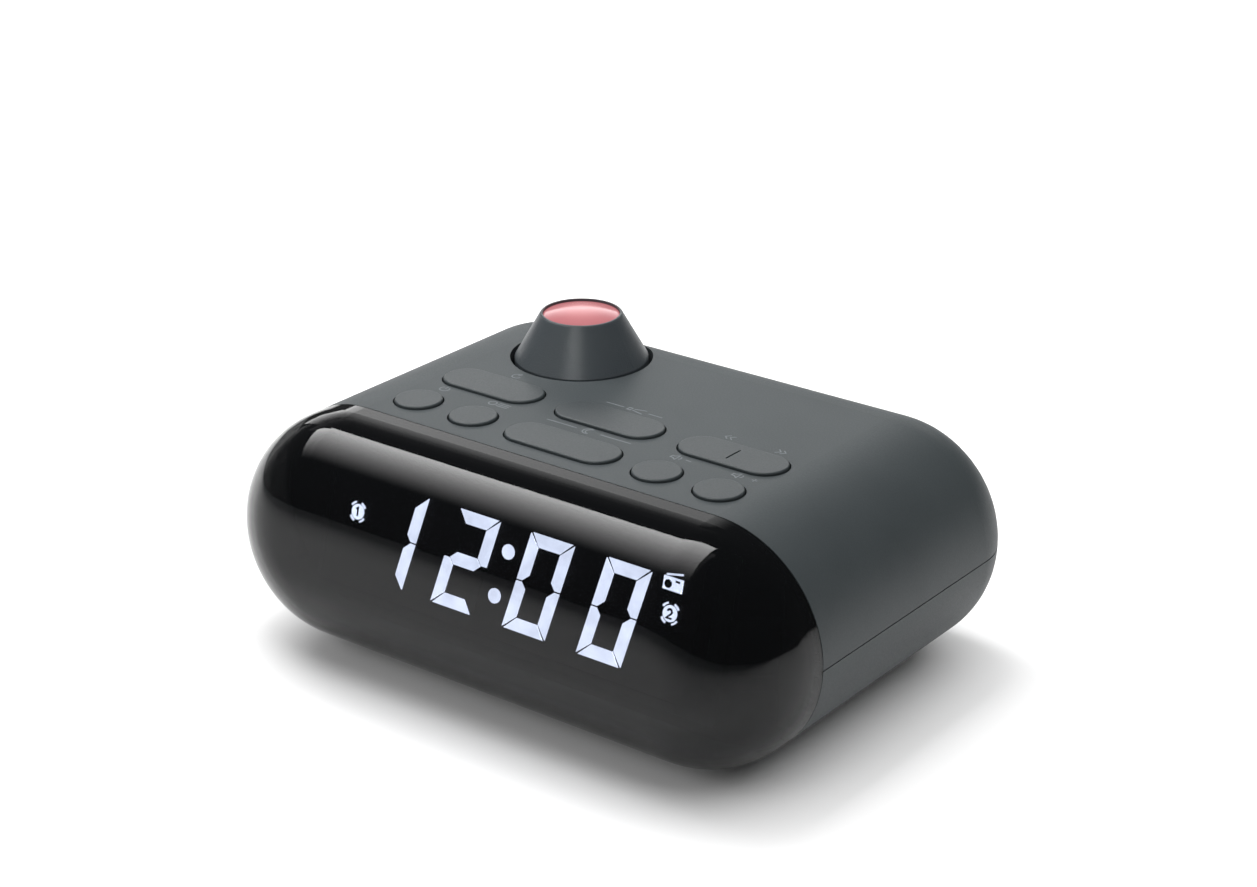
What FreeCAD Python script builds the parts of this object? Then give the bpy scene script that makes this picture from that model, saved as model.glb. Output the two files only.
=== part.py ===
import FreeCAD, Part
import math
import os
import re

import Sketcher

# Projection clock radio: a long stadium-section casing with a smoked wrap-round front cover,
# two rows of push buttons on top and a turned focusing cone over the time projector.
# Millimetres. +X to the right, front face towards -Y, +Z up. The origin is the middle of the
# footprint, on the surface that the feet stand on.

SIZES = {
    # casing
    "body_wide": 173.0,
    "body_tall": 62.0,
    "body_deep": 125.0,
    "front_round": 24.5,
    "rear_round": 21.0,
    "wall": 2.2,
    "cover_deep": 28.8,
    "side_seam_up": 30.5,
    "seam_gap": 0.3,
    "seam_sink": 0.7,
    "lip_thick": 1.2,
    "lip_tall": 2.4,
    # feet
    "foot_proud": 2.0,
    "foot_sink": 1.0,
    "foot_radius": 6.0,
    "foot_across": 100.0,
    "foot_front": 38.0,
    "foot_rear": 26.0,
    # case screws and their bosses
    "case_screw_inset": 16.5,
    "case_screw_front": 44.5,
    "case_screw_rear": 20.0,
    "case_boss_radius": 5.2,
    "case_screw_radius": 1.5,
    "case_head_radius": 3.0,
    "case_head_tall": 2.0,
    "case_head_up": 14.0,
    "case_screw_long": 24.0,
    # buttons
    "button_wide": 12.6,
    "button_gap": 0.4,
    "button_proud": 0.7,
    "button_edge": 0.5,
    "button_travel": 0.6,
    "flange_lap": 0.7,
    "flange_thick": 1.2,
    "flange_clear": 0.15,
    "front_row": 40.8,
    "rear_row": 60.0,
    "outer_button_inset": 7.7,
    "button_pitch": 18.5,
    "rear_button_shift": 9.3,
    "front_land": 5.95,
    "rear_land": 6.95,
    "rear_button_long": 31.0,
    "rocker_pivot_radius": 1.0,
    "rocker_pivot_drop": 4.6,
    "rocker_ear_tall": 2.2,
    "rocker_ear_thick": 1.6,
    "rocker_ear_clear": 1.0,
    "rocker_switch_at": 9.5,
    "rocker_rib_long": 4.0,
    "rocker_rib_lap": 0.8,
    "rocker_line_wide": 0.5,
    "rocker_line_deep": 0.35,
    "pivot_clear": 0.05,
    "plunger_radius": 1.6,
    "plunger_long": 3.2,
    "plunger_sunk": 0.8,
    "switch_clear": 0.3,
    # button board
    "switch_wide": 6.0,
    "switch_tall": 3.4,
    "nub_radius": 1.7,
    "nub_tall": 0.8,
    "board_thick": 1.6,
    "button_board_margin": 16.2,
    "button_board_deep": 37.0,
    "button_board_front": 31.8,
    "board_screw_radius": 1.2,
    "board_head_radius": 2.4,
    "board_head_tall": 1.4,
    "board_screw_long": 6.0,
    "board_boss_radius": 2.6,
    "board_boss_inset": 4.0,
    "hole_clear": 0.2,
    "seat_clear": 0.3,
    "recess_wide": 0.5,
    "recess_deep": 0.7,
    # projector
    "projector_left": 34.4,
    "projector_back": 92.1,
    "well_radius": 19.4,
    "well_wall": 1.6,
    "well_deep": 13.0,
    "well_floor": 1.6,
    "cone_foot_radius": 18.15,
    "cone_top_radius": 11.2,
    "cone_up": 12.5,
    "cone_wall": 1.6,
    "cone_floor_clear": 0.5,
    "cone_rim": 0.75,
    "cone_web": 1.6,
    "cone_hub_tall": 6.0,
    "cone_edge": 0.3,
    "cone_lip_up": 0.6,
    "lens_edge_up": 11.85,
    "lens_edge_thick": 2.4,
    "lens_dome": 1.5,
    "lens_clear": 0.15,
    "focus_travel": 1.0,
    "carrier_flange": 1.4,
    "carrier_step": 1.4,
    "carrier_wall": 1.2,
    "carrier_long": 20.0,
    "tube_fit": 0.06,
    "tube_wall": 1.5,
    "tube_long": 40.0,
    "tube_flange_radius": 14.0,
    "tube_flange_thick": 1.5,
    "focus_pin_radius": 1.0,
    "focus_pin_drop": 7.0,
    "slide_drop": 24.0,
    "condenser_drop": 32.0,
    "slide_thick": 1.2,
    "condenser_thick": 3.0,
    "led_wide": 5.0,
    "led_tall": 2.2,
    "projector_board_wide": 24.0,
    # display
    "display_back": 16.3,
    "display_up": 35.5,
    "display_tilt": 15.7,
    "module_wide": 118.0,
    "module_tall": 36.0,
    "module_thick": 6.0,
    "window_sink": 0.6,
    "display_board_wide": 128.0,
    "display_board_tall": 42.0,
    "digit_tall": 25.4,
    "digit_wide": 13.5,
    "digit_slant": 10.0,
    "digit_pitch": 23.3,
    "segment_wide": 3.3,
    "segment_gap": 0.45,
    "segment_proud": 0.3,
    "colon_radius": 1.9,
    "colon_up": 5.9,
    "segment_chamfer": 0.4,
    "window_margin": 1.5,
    "display_post_radius": 2.2,
    "display_post_inset": 2.4,
    "display_post_down": 14.0,
    # main board
    "main_board_up": 8.0,
    "main_board_wide": 76.0,
    "main_board_deep": 64.0,
    "main_board_gap": 1.4,
    "main_board_back": 11.0,
    "clock_chip_wide": 14.0,
    "clock_chip_tall": 2.0,
    "radio_chip_wide": 8.0,
    "radio_chip_long": 10.0,
    "radio_chip_tall": 1.8,
    "crystal_radius": 1.5,
    "crystal_long": 6.0,
    "capacitor_radius": 2.5,
    "capacitor_tall": 7.0,
    "capacitor_pitch": 9.0,
    # backup cell
    "cell_radius": 10.0,
    "cell_thick": 3.2,
    "cell_clear": 0.4,
    "cell_back": 50.0,
    "cell_shift": 10.0,
    "door_thick": 1.4,
    "door_margin": 1.2,
    "pocket_wall": 1.4,
    "door_clear": 0.15,
    "door_step_wide": 2.5,
    "door_head_tall": 0.7,
    "door_head_sink": 0.1,
    "door_screw_long": 2.8,
    "pocket_roof": 0.8,
    "contact_long": 6.0,
    "contact_wide": 4.0,
    "contact_thick": 0.4,
    # speaker
    "speaker_radius": 20.0,
    "speaker_inset": 20.1,
    "speaker_back": 10.0,
    "speaker_tall": 22.0,
    "speaker_frame_thick": 1.0,
    "speaker_neck": 10.0,
    "speaker_coil": 4.0,
    "cone_paper": 0.6,
    "cone_paper_up": 6.6,
    "dust_cap_radius": 6.0,
    "collar_wall": 1.6,
    "collar_tall": 4.0,
    "gasket_thick": 1.0,
    "gasket_wide": 3.5,
    "magnet_radius": 12.0,
    "magnet_tall": 8.0,
    "grille_slot_wide": 2.4,
    "grille_pitch": 4.4,
    "grille_radius": 15.0,
    # rear sockets
    "jack_left": 42.0,
    "jack_radius": 4.2,
    "jack_flange_radius": 5.4,
    "jack_flange_thick": 1.0,
    "jack_long": 13.0,
    "jack_bore_radius": 3.2,
    "jack_bore_deep": 9.5,
    "jack_pin_radius": 1.0,
    "nut_thick": 2.0,
    "seat_deep": 3.0,
    "socket_drop": 7.5,
    "grommet_right": 48.0,
    "grommet_radius": 3.4,
    "grommet_groove": 1.0,
    "grommet_bore_radius": 1.0,
    "grommet_lip": 0.8,
    # flat cables
    "ribbon_wide": 20.0,
    "ribbon_thick": 0.4,
}

# Levels and lines that several pieces share, written with the names above.
DERIVED = {
    "top": "foot_proud + body_tall",
    "ceiling": "top - wall",
    "floor": "foot_proud + wall",
    "middle_up": "foot_proud + body_tall / 2",
    "front": "-body_deep / 2",
    "rear": "body_deep / 2",
    "cover_seam": "front + cover_deep",
    "side_seam": "foot_proud + side_seam_up",
    "front_row_y": "front + front_row",
    "rear_row_y": "front + rear_row",
    "flange_top": "ceiling - flange_clear",
    "flange_under": "flange_top - flange_thick",
    "plunger_under": "flange_under + plunger_sunk - plunger_long",
    "flat_half": "(body_wide - body_tall) / 2",
    "outer_button_x": "flat_half - outer_button_inset",
    "inner_button_x": "outer_button_x - button_pitch",
    "rear_button_x": "outer_button_x - rear_button_shift",
    "snooze_long": "2 * (inner_button_x - button_wide / 2 - front_land)",
    "middle_button_long": "2 * (rear_button_x - rear_button_long / 2 - rear_land)",
    "cap_tall": "top + button_proud - flange_under",
    "pivot_z": "top - rocker_pivot_drop",
    "rocker_ear_y": "button_wide / 2 + button_gap + rocker_ear_clear + rocker_ear_thick / 2",
    "nub_top": "plunger_under - button_travel - switch_clear",
    "button_board_top": "nub_top - nub_tall - switch_tall",
    "button_board_under": "button_board_top - board_thick",
    "button_board_wide": "2 * (outer_button_x + button_board_margin)",
    "button_board_edge": "front + button_board_front + button_board_deep",
    "projector_y": "front + projector_back",
    "well_bottom": "top - well_deep",
    "cone_top": "top + cone_up",
    "lens_edge": "top + lens_edge_up",
    "lens_radius": "cone_top_radius - cone_rim - lens_clear",
    "lens_under": "lens_edge - lens_edge_thick",
    "carrier_radius": "lens_radius - carrier_step",
    "tube_bore": "carrier_radius + tube_fit",
    "tube_radius": "tube_bore + tube_wall",
    "tube_top": "lens_under - carrier_flange - focus_travel - switch_clear",
    "tube_bottom": "tube_top - tube_long",
    "display_y": "front + display_back",
    "display_z": "foot_proud + display_up",
    "display_board_under": "-module_thick - board_thick",
    "display_post_x": "display_board_wide / 2 - display_post_inset",
    "speaker_x": "flat_half - speaker_inset",
    "speaker_seat": "floor + gasket_thick",
    "speaker_back_z": "speaker_seat + speaker_tall - magnet_tall",
    "main_board_x": "speaker_x - speaker_radius - main_board_gap - main_board_wide / 2",
    "main_board_under": "foot_proud + main_board_up + wall",
    "main_board_top": "main_board_under + board_thick",
    "cell_y": "front + cell_back",
    "case_boss_x": "body_wide / 2 - case_screw_inset",
    "case_boss_front_y": "front + case_screw_front",
    "case_boss_rear_y": "rear - case_screw_rear",
    "case_head_under": "foot_proud + case_head_up",
    "board_boss_x": "button_board_wide / 2 - board_boss_inset",
    "board_boss_front_y": "front + button_board_front + board_boss_inset",
    "board_boss_rear_y": "button_board_edge - board_boss_inset",
    "door_screw_reach": "cell_radius + cell_clear + pocket_wall + board_head_radius + door_margin",
    "cell_x": "main_board_x + cell_shift",
    "door_screw_x": "cell_x + door_screw_reach",
    "door_wide": "2 * (cell_radius + cell_clear + pocket_wall + door_margin)",
    "door_long": "2 * (door_screw_reach + board_head_radius + door_margin)",
    "socket_z": "side_seam - socket_drop",
    "cell_top": "foot_proud + door_thick + cell_thick",
    "foot_front_y": "front + foot_front",
    "foot_rear_y": "rear - foot_rear",
}

DOC = FreeCAD.newDocument("clock_radio")
NODES = []


def fill_sheet(name, cells):
    """A spreadsheet with one aliased cell per line."""
    sheet = DOC.addObject("Spreadsheet::Sheet", name)
    for row, (alias, content) in enumerate(cells.items(), start=1):
        sheet.set(f"A{row}", alias)
        sheet.setAlias(f"B{row}", alias)
        sheet.set(f"B{row}", str(content))
    return sheet


def cell(text):
    """An expression in which each size or level is named with its sheet."""
    def qualified(match):
        word = match.group(0)
        if word in SIZES:
            return "dims." + word
        if word in DERIVED:
            return "levels." + word
        return word
    return re.sub(r"[a-z_]+", qualified, str(text))


DIMS = fill_sheet("dims", SIZES)
fill_sheet("levels", {level: "=" + cell(formula).replace("levels.", "")
                      for level, formula in DERIVED.items()})
DOC.recompute()


def value(text):
    """The present number of an expression."""
    return float(DIMS.evalExpression(cell(text)))


def bind(item, sizes):
    for name, text in sizes.items():
        item.setExpression(name, cell(text))
    return item


def place(item, x=0, y=0, z=0):
    return bind(item, {"Placement.Base.x": x, "Placement.Base.y": y, "Placement.Base.z": z})


def make(kind, name):
    item = DOC.addObject(kind, name)
    item.Label = name
    return item


def block(name, long, deep, tall, x=0, y=0, z=0):
    """A box centred on x and y, standing on z."""
    item = bind(make("Part::Box", name), {"Length": long, "Width": deep, "Height": tall})
    return place(item, f"{x} - ({long}) / 2", f"{y} - ({deep}) / 2", z)


def rod(name, radius, long, x=0, y=0, z=0, along="Z"):
    """A cylinder that starts at the point and runs along a positive axis."""
    item = bind(make("Part::Cylinder", name), {"Radius": radius, "Height": long})
    turns = {"X": FreeCAD.Rotation(FreeCAD.Vector(0, 1, 0), 90),
             "Y": FreeCAD.Rotation(FreeCAD.Vector(1, 0, 0), -90),
             "Z": FreeCAD.Rotation()}
    item.Placement.Rotation = turns[along]
    return place(item, x, y, z)


def cut(name, base, tool):
    item = make("Part::Cut", name)
    item.Base = base
    item.Tool = tool
    return item


def common(name, base, tool):
    item = make("Part::Common", name)
    item.Base = base
    item.Tool = tool
    return item


def fuse(name, pieces):
    item = make("Part::MultiFuse", name)
    item.Shapes = pieces
    item.Refine = True
    return item


def group(name, pieces):
    """Separate solids that share one node."""
    item = make("Part::Compound", name)
    item.Links = pieces
    return item


def ring(name, outer, inner, long, x=0, y=0, z=0, along="Z"):
    solid = rod(name + "_outer", outer, long, x, y, z, along)
    bore = rod(name + "_bore", inner, long, x, y, z, along)
    return cut(name, solid, bore)


def pill(name, long, wide, tall, x, y, z):
    """A prism with straight sides and round ends, long in x."""
    reach = f"(({long}) - ({wide})) / 2"
    middle = block(name + "_middle", f"({long}) - ({wide})", wide, tall, x, y, z)
    left = rod(name + "_left", f"({wide}) / 2", tall, f"{x} - {reach}", y, z)
    right = rod(name + "_right", f"({wide}) / 2", tall, f"{x} + {reach}", y, z)
    return fuse(name, [middle, left, right])


def sketch_outline(body, name, plane, points):
    """A closed outline of straight lines, each corner held to the sheets."""
    planes = {feature.Role: feature for feature in body.Origin.OriginFeatures}
    sketch = body.newObject("Sketcher::SketchObject", name + "_outline")
    sketch.AttachmentSupport = [(planes[plane], "")]
    sketch.MapMode = "FlatFace"
    spots = [FreeCAD.Vector(value(x), value(y), 0) for x, y in points]
    for start, end in zip(spots, spots[1:] + spots[:1]):
        sketch.addGeometry(Part.LineSegment(start, end), False)
    for index in range(len(points)):
        following = (index + 1) % len(points)
        sketch.addConstraint(Sketcher.Constraint("Coincident", index, 2, following, 1))
    for index, (corner, spot) in enumerate(zip(points, spots)):
        for kind, text, number, axis in (("DistanceX", corner[0], spot.x, -2),
                                         ("DistanceY", corner[1], spot.y, -1)):
            if text == 0:
                sketch.addConstraint(Sketcher.Constraint("PointOnObject", index, 1, axis))
                continue
            held = sketch.addConstraint(Sketcher.Constraint(kind, -1, 1, index, 1, number))
            sketch.setExpression(f"Constraints[{held}]", cell(text))
    return sketch


def turned(name, points, x=0, y=0):
    """A body turned about a vertical axis from an outline of radius and level pairs."""
    body = make("PartDesign::Body", name)
    sketch = sketch_outline(body, name, "XZ_Plane", points)
    spin = body.newObject("PartDesign::Revolution", name + "_spin")
    spin.Profile = sketch
    spin.ReferenceAxis = (sketch, ["V_Axis"])
    spin.Angle = 360
    return place(body, x, y)


def strip(name, points, wide, x=0):
    """A body with an outline in the YZ plane, as wide as given, centred on x."""
    body = make("PartDesign::Body", name)
    sketch = sketch_outline(body, name, "YZ_Plane", points)
    pad = body.newObject("PartDesign::Pad", name + "_pad")
    pad.Profile = sketch
    pad.SideType = "Symmetric"
    bind(pad, {"Length": wide})
    return place(body, x)


def keep(item):
    """Marks an object as a finished piece of the clock radio."""
    NODES.append(item)
    return item


# ---------------------------------------------------------------- casing

def hull(name, inset):
    """The whole casing's outer form, moved inwards by the inset."""
    body = make("PartDesign::Body", name)
    planes = {feature.Role: feature for feature in body.Origin.OriginFeatures}
    sketch = body.newObject("Sketcher::SketchObject", name + "_section")
    sketch.AttachmentSupport = [(planes["XZ_Plane"], "")]
    sketch.MapMode = "FlatFace"
    radius = value(f"body_tall / 2 - {inset}")
    reach = value("flat_half")
    left = FreeCAD.Vector(-reach, 0, 0)
    right = FreeCAD.Vector(reach, 0, 0)
    upright = FreeCAD.Vector(0, radius, 0)
    facing = FreeCAD.Vector(0, 0, 1)
    quarter = math.pi / 2
    right_round = Part.ArcOfCircle(Part.Circle(right, facing, radius), -quarter, quarter)
    left_round = Part.ArcOfCircle(Part.Circle(left, facing, radius), quarter, 3 * quarter)
    sketch.addGeometry(Part.LineSegment(left - upright, right - upright), False)
    sketch.addGeometry(right_round, False)
    sketch.addGeometry(Part.LineSegment(right + upright, left + upright), False)
    sketch.addGeometry(left_round, False)
    for first, second in ((0, 1), (1, 2), (2, 3), (3, 0)):
        sketch.addConstraint(Sketcher.Constraint("Tangent", first, 2, second, 1))
    sketch.addConstraint(Sketcher.Constraint("Horizontal", 0))
    sketch.addConstraint(Sketcher.Constraint("Symmetric", 1, 3, 3, 3, -1, 1))
    span = sketch.addConstraint(Sketcher.Constraint("DistanceX", 0, 1, 0, 2, 2 * reach))
    round_end = sketch.addConstraint(Sketcher.Constraint("Radius", 1, radius))
    bind(sketch, {f"Constraints[{span}]": "2 * flat_half",
                  f"Constraints[{round_end}]": f"body_tall / 2 - {inset}"})
    pad = body.newObject("PartDesign::Pad", name + "_pad")
    pad.Profile = sketch
    pad.SideType = "Symmetric"
    bind(pad, {"Length": f"body_deep - 2 * ({inset})"})
    DOC.recompute()
    base = pad
    for side, size, end in (("front", "front_round", -1), ("rear", "rear_round", 1)):
        edges = [f"Edge{number}" for number, edge in enumerate(base.Shape.Edges, start=1)
                 if edge.BoundBox.YLength < 0.001 and edge.BoundBox.Center.y * end > 0]
        rounding = body.newObject("PartDesign::Fillet", f"{name}_{side}_round")
        rounding.Base = (base, edges)
        bind(rounding, {"Radius": f"{size} - {inset}"})
        DOC.recompute()
        base = rounding
    return place(body, 0, 0, "middle_up")


def casing_slab(name, front, rear, under, over):
    """A box across the whole casing between two depths and two levels."""
    deep = f"(({rear}) - ({front}))"
    return block(name, "body_wide + 2", deep, f"({over}) - ({under})",
                 0, f"({front}) + {deep} / 2", under)


def shell_wall(name, outer, front, rear, under, over):
    """The casing's wall between two depths and two levels."""
    hollow = hull(name + "_hollow", "wall")
    skin = cut(name + "_skin", outer, hollow)
    return common(name + "_wall", skin, casing_slab(name + "_zone", front, rear, under, over))


def lip(name, inner_inset, front, rear, under, over):
    """A thin tongue just inside the casing's wall."""
    outside = hull(name + "_outside", "wall")
    inside = hull(name + "_inside", inner_inset)
    band = cut(name + "_band", outside, inside)
    return common(name, band, casing_slab(name + "_zone", front, rear, under, over))


def seam_groove(name, front, rear, under, over):
    """The shallow outside groove that shows along a seam."""
    outside = hull(name + "_outside", "0")
    inside = hull(name + "_inside", "seam_sink")
    band = cut(name + "_band", outside, inside)
    return common(name, band, casing_slab(name + "_zone", front, rear, under, over))


FRONT_ROUNDS = {"power_button": "-outer_button_x",
                "memory_button": "-inner_button_x",
                "volume_down_button": "inner_button_x",
                "volume_up_button": "outer_button_x"}
LONG_BUTTONS = {"snooze_button": ("snooze_long", "0", "front_row_y"),
                "rotate_button": ("rear_button_long", "-rear_button_x", "rear_row_y"),
                "projection_button": ("middle_button_long", "0", "rear_row_y")}
ROCKER = "hour_minute_rocker"


def button_places():
    """Name, length, x and y of every opening in the top."""
    rounds = {name: ("button_wide", x, "front_row_y") for name, x in FRONT_ROUNDS.items()}
    rocker = {ROCKER: ("rear_button_long", "rear_button_x", "rear_row_y")}
    return {**rounds, **LONG_BUTTONS, **rocker}


def pill_or_rod(name, long, grow, tall, x, y, z):
    """A button's outline grown all round, as a prism."""
    wide = f"button_wide + 2 * ({grow})"
    if long == "button_wide":
        return rod(name, f"({wide}) / 2", tall, x, y, z)
    return pill(name, f"{long} + 2 * ({grow})", wide, tall, x, y, z)


def four_corners(across, along):
    """The x and y of the four corners of a pattern that is even about the middle."""
    return {f"{side}_{row}": (f"{sign}{across}", along.format(row=row))
            for side, sign in (("left", "-"), ("right", ""))
            for row in ("front", "rear")}


CASE_SCREW_SPOTS = four_corners("case_boss_x", "case_boss_{row}_y")
BOARD_SCREW_SPOTS = four_corners("board_boss_x", "board_boss_{row}_y")
FOOT_SPOTS = four_corners("foot_across / 2", "foot_{row}_y")
MAIN_SCREW_SPOTS = {f"{side}_{row}": (f"main_board_x {across} (main_board_wide / 2 - board_boss_inset)",
                                      f"main_board_back {along} (main_board_deep / 2 - board_boss_inset)")
                    for side, across in (("left", "-"), ("right", "+"))
                    for row, along in (("front", "-"), ("rear", "+"))}
DISPLAY_SCREW_SPOTS = {"left": ("-display_post_x", "-display_post_down"),
                       "right": ("display_post_x", "-display_post_down")}


def top_shell():
    """Upper casing with button openings, projector well and the bosses that hang from it."""
    outer = hull("top_shell_outer", "0")
    wall = shell_wall("top_shell", outer, "cover_seam", "rear", "side_seam", "top")
    bosses = [rod(f"top_case_boss_{spot}", "case_boss_radius - 1", "top - side_seam", x, y, "side_seam")
              for spot, (x, y) in CASE_SCREW_SPOTS.items()]
    bosses += [rod(f"button_board_boss_{spot}", "board_boss_radius", "top - button_board_top",
                   x, y, "button_board_top")
               for spot, (x, y) in BOARD_SCREW_SPOTS.items()]
    bosses.append(rod("well_tube", "well_radius + well_wall", "well_deep + well_floor",
                      "-projector_left", "projector_y", "well_bottom - well_floor"))
    bosses += [block(f"rocker_ear_{side}", "2 * rocker_ear_tall", "rocker_ear_thick",
                     "top - pivot_z + rocker_ear_tall",
                     "rear_button_x", f"rear_row_y {sign} rocker_ear_y", "pivot_z - rocker_ear_tall")
               for side, sign in (("front", "-"), ("rear", "+"))]
    trimmed = common("top_shell_bosses", fuse("top_shell_boss_set", bosses),
                     hull("top_shell_limit", "wall / 2"))
    solid = fuse("top_shell_solid", [wall, trimmed])
    openings = [pill_or_rod(f"{name}_opening", long, "button_gap", "top + 1 - ceiling + 1",
                            x, y, "ceiling - 1")
                for name, (long, x, y) in button_places().items()]
    openings.append(rod("well_opening", "well_radius", "well_deep + 1",
                        "-projector_left", "projector_y", "well_bottom"))
    openings.append(rod("well_tube_opening", "tube_radius + hole_clear", "well_floor + 2",
                        "-projector_left", "projector_y", "well_bottom - well_floor - 1"))
    openings += [rod(f"case_screw_pilot_{spot}", "case_screw_radius", "case_screw_long",
                     x, y, "case_head_under + case_head_tall")
                 for spot, (x, y) in CASE_SCREW_SPOTS.items()]
    openings += [rod(f"board_screw_pilot_{spot}", "board_screw_radius", "board_screw_long",
                     x, y, "button_board_under")
                 for spot, (x, y) in BOARD_SCREW_SPOTS.items()]
    openings.append(rod("rocker_pivot_bore", "rocker_pivot_radius + pivot_clear", "2 * rocker_ear_y + 4",
                        "rear_button_x", "rear_row_y - rocker_ear_y - 2", "pivot_z", "Y"))
    openings.append(seam_groove("top_side_seam", "cover_seam - 1", "rear + 1",
                                "side_seam", "side_seam + seam_gap"))
    openings.append(seam_groove("top_cover_seam", "cover_seam", "cover_seam + seam_gap",
                                "side_seam", "top + 1"))
    return keep(cut("top_shell", solid, fuse("top_shell_openings", openings)))


def bottom_bosses():
    """Everything that stands on the lower casing's floor."""
    bosses = [rod(f"bottom_case_boss_{spot}", "case_boss_radius", "side_seam - foot_proud",
                  x, y, "foot_proud")
              for spot, (x, y) in CASE_SCREW_SPOTS.items()]
    bosses += [rod(f"main_board_boss_{spot}", "board_boss_radius", "main_board_under - foot_proud",
                   x, y, "foot_proud")
               for spot, (x, y) in MAIN_SCREW_SPOTS.items()]
    bosses.append(ring("speaker_collar", "speaker_radius + collar_wall", "speaker_radius + hole_clear",
                       "collar_tall", "speaker_x", "speaker_back", "floor - 0.5"))
    bosses.append(rod("cell_pocket", "cell_radius + cell_clear + pocket_wall",
                      "cell_top + contact_thick + 2 * pocket_roof + 0.6 - foot_proud",
                      "cell_x", "cell_y", "foot_proud"))
    bosses.append(block("door_step", "door_long + 2 * door_step_wide", "door_wide + 2 * door_step_wide",
                        "door_thick + 1.6", "cell_x", "cell_y", "foot_proud"))
    return fuse("bottom_shell_boss_set", bosses)


def screw_openings():
    """Holes for the case screws and their heads, and pilot holes for the main board's screws."""
    openings = [rod(f"case_screw_hole_{spot}", "case_screw_radius", "body_tall", x, y, "0")
                for spot, (x, y) in CASE_SCREW_SPOTS.items()]
    openings += [rod(f"case_head_hole_{spot}", "case_head_radius + seat_clear",
                     "case_head_under + case_head_tall", x, y, "0")
                 for spot, (x, y) in CASE_SCREW_SPOTS.items()]
    openings += [rod(f"lip_relief_{spot}", "case_boss_radius - 1 + seat_clear", "lip_tall + 1",
                     x, y, "side_seam")
                 for spot, (x, y) in CASE_SCREW_SPOTS.items()]
    openings += [rod(f"main_screw_pilot_{spot}", "board_screw_radius", "board_screw_long - board_thick",
                     x, y, "main_board_top - board_screw_long")
                 for spot, (x, y) in MAIN_SCREW_SPOTS.items()]
    return openings


def cell_openings():
    """The door's seat, the cell's pocket and the pilot hole of the door's screw."""
    x = "cell_x"
    return [block("door_opening", "door_long + 2 * door_clear", "door_wide + 2 * door_clear",
                  "door_thick + 1", x, "cell_y", "foot_proud - 1"),
            rod("cell_opening", "cell_radius + cell_clear", "cell_top + contact_thick + 1.4 - foot_proud",
                x, "cell_y", "foot_proud"),
            rod("door_screw_pilot", "board_screw_radius", "door_screw_long - contact_thick",
                "door_screw_x", "cell_y", "foot_proud + door_thick")]


def rear_opening(name, radius, start, long, x):
    """A round opening in the rear wall, from the given depth on."""
    return rod(name, radius, long, x, start, "socket_z", "Y")


def rear_openings():
    """Holes, outside recesses and inside seats of the supply socket and the aerial's grommet."""
    jack = "-jack_left"
    grommet = "grommet_right"
    seat = "rear - wall - seat_deep"
    return [rear_opening("jack_hole", "jack_radius", "rear - wall - 1", "wall + 2", jack),
            rear_opening("jack_nut_seat", "jack_flange_radius + seat_clear", seat, "seat_deep", jack),
            rear_opening("jack_flange_recess", "jack_flange_radius", "rear - jack_flange_thick",
                         "jack_flange_thick + 1", jack),
            rear_opening("grommet_hole", "grommet_radius - grommet_groove", "rear - wall - 1",
                         "wall + 2", grommet),
            rear_opening("grommet_seat", "grommet_radius + seat_clear", seat, "seat_deep", grommet),
            rear_opening("grommet_recess", "grommet_radius", "rear - grommet_lip",
                         "grommet_lip + 1", grommet)]


def bottom_shell():
    """Lower casing: screw bosses, speaker grille, cell pocket, board posts and rear sockets."""
    outer = hull("bottom_shell_outer", "0")
    wall = shell_wall("bottom_shell", outer, "cover_seam", "rear", "foot_proud", "side_seam")
    trimmed = common("bottom_shell_bosses", bottom_bosses(), hull("bottom_shell_limit", "wall / 2"))
    tongue = lip("side_lip", "wall + lip_thick", "cover_seam + lip_tall + 0.6", "rear",
                 "side_seam - lip_tall", "side_seam + lip_tall")
    solid = fuse("bottom_shell_solid", [wall, trimmed, tongue])
    recesses = [rod(f"foot_recess_{spot}", "foot_radius", "foot_sink + 1", x, y, "foot_proud - 1")
                for spot, (x, y) in FOOT_SPOTS.items()]
    seam = seam_groove("bottom_cover_seam", "cover_seam", "cover_seam + seam_gap",
                       "foot_proud - 1", "side_seam")
    openings = screw_openings() + recesses + grille_slots() + cell_openings() + rear_openings() + [seam]
    shell = cut("bottom_shell", solid, fuse("bottom_shell_openings", openings))
    # Merging flat faces across the screw bosses can leave the shell unsound in a taller casing.
    shell.Refine = False
    return keep(shell)


def grille_slots():
    """Straight slots under the speaker, each as long as its chord of the grille's circle."""
    slots = []
    for step in (-3, -2, -1, 0, 1, 2, 3):
        chord = f"(2 * sqrt(grille_radius ^ 2 - ({step} * grille_pitch) ^ 2))"
        slots.append(pill(f"grille_slot_{step + 4}", chord, "grille_slot_wide", "wall + 2",
                          "speaker_x", f"speaker_back + ({step}) * grille_pitch", "foot_proud - 1"))
    return slots


def lean(item):
    """Puts a piece drawn face up on the origin onto the tilted display plane."""
    item.Placement.Rotation = FreeCAD.Rotation(FreeCAD.Vector(1, 0, 0), 90 - value("display_tilt"))
    bind(item, {"Placement.Rotation.Angle": "90 - display_tilt"})
    return place(item, 0, "display_y", "display_z")


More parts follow.
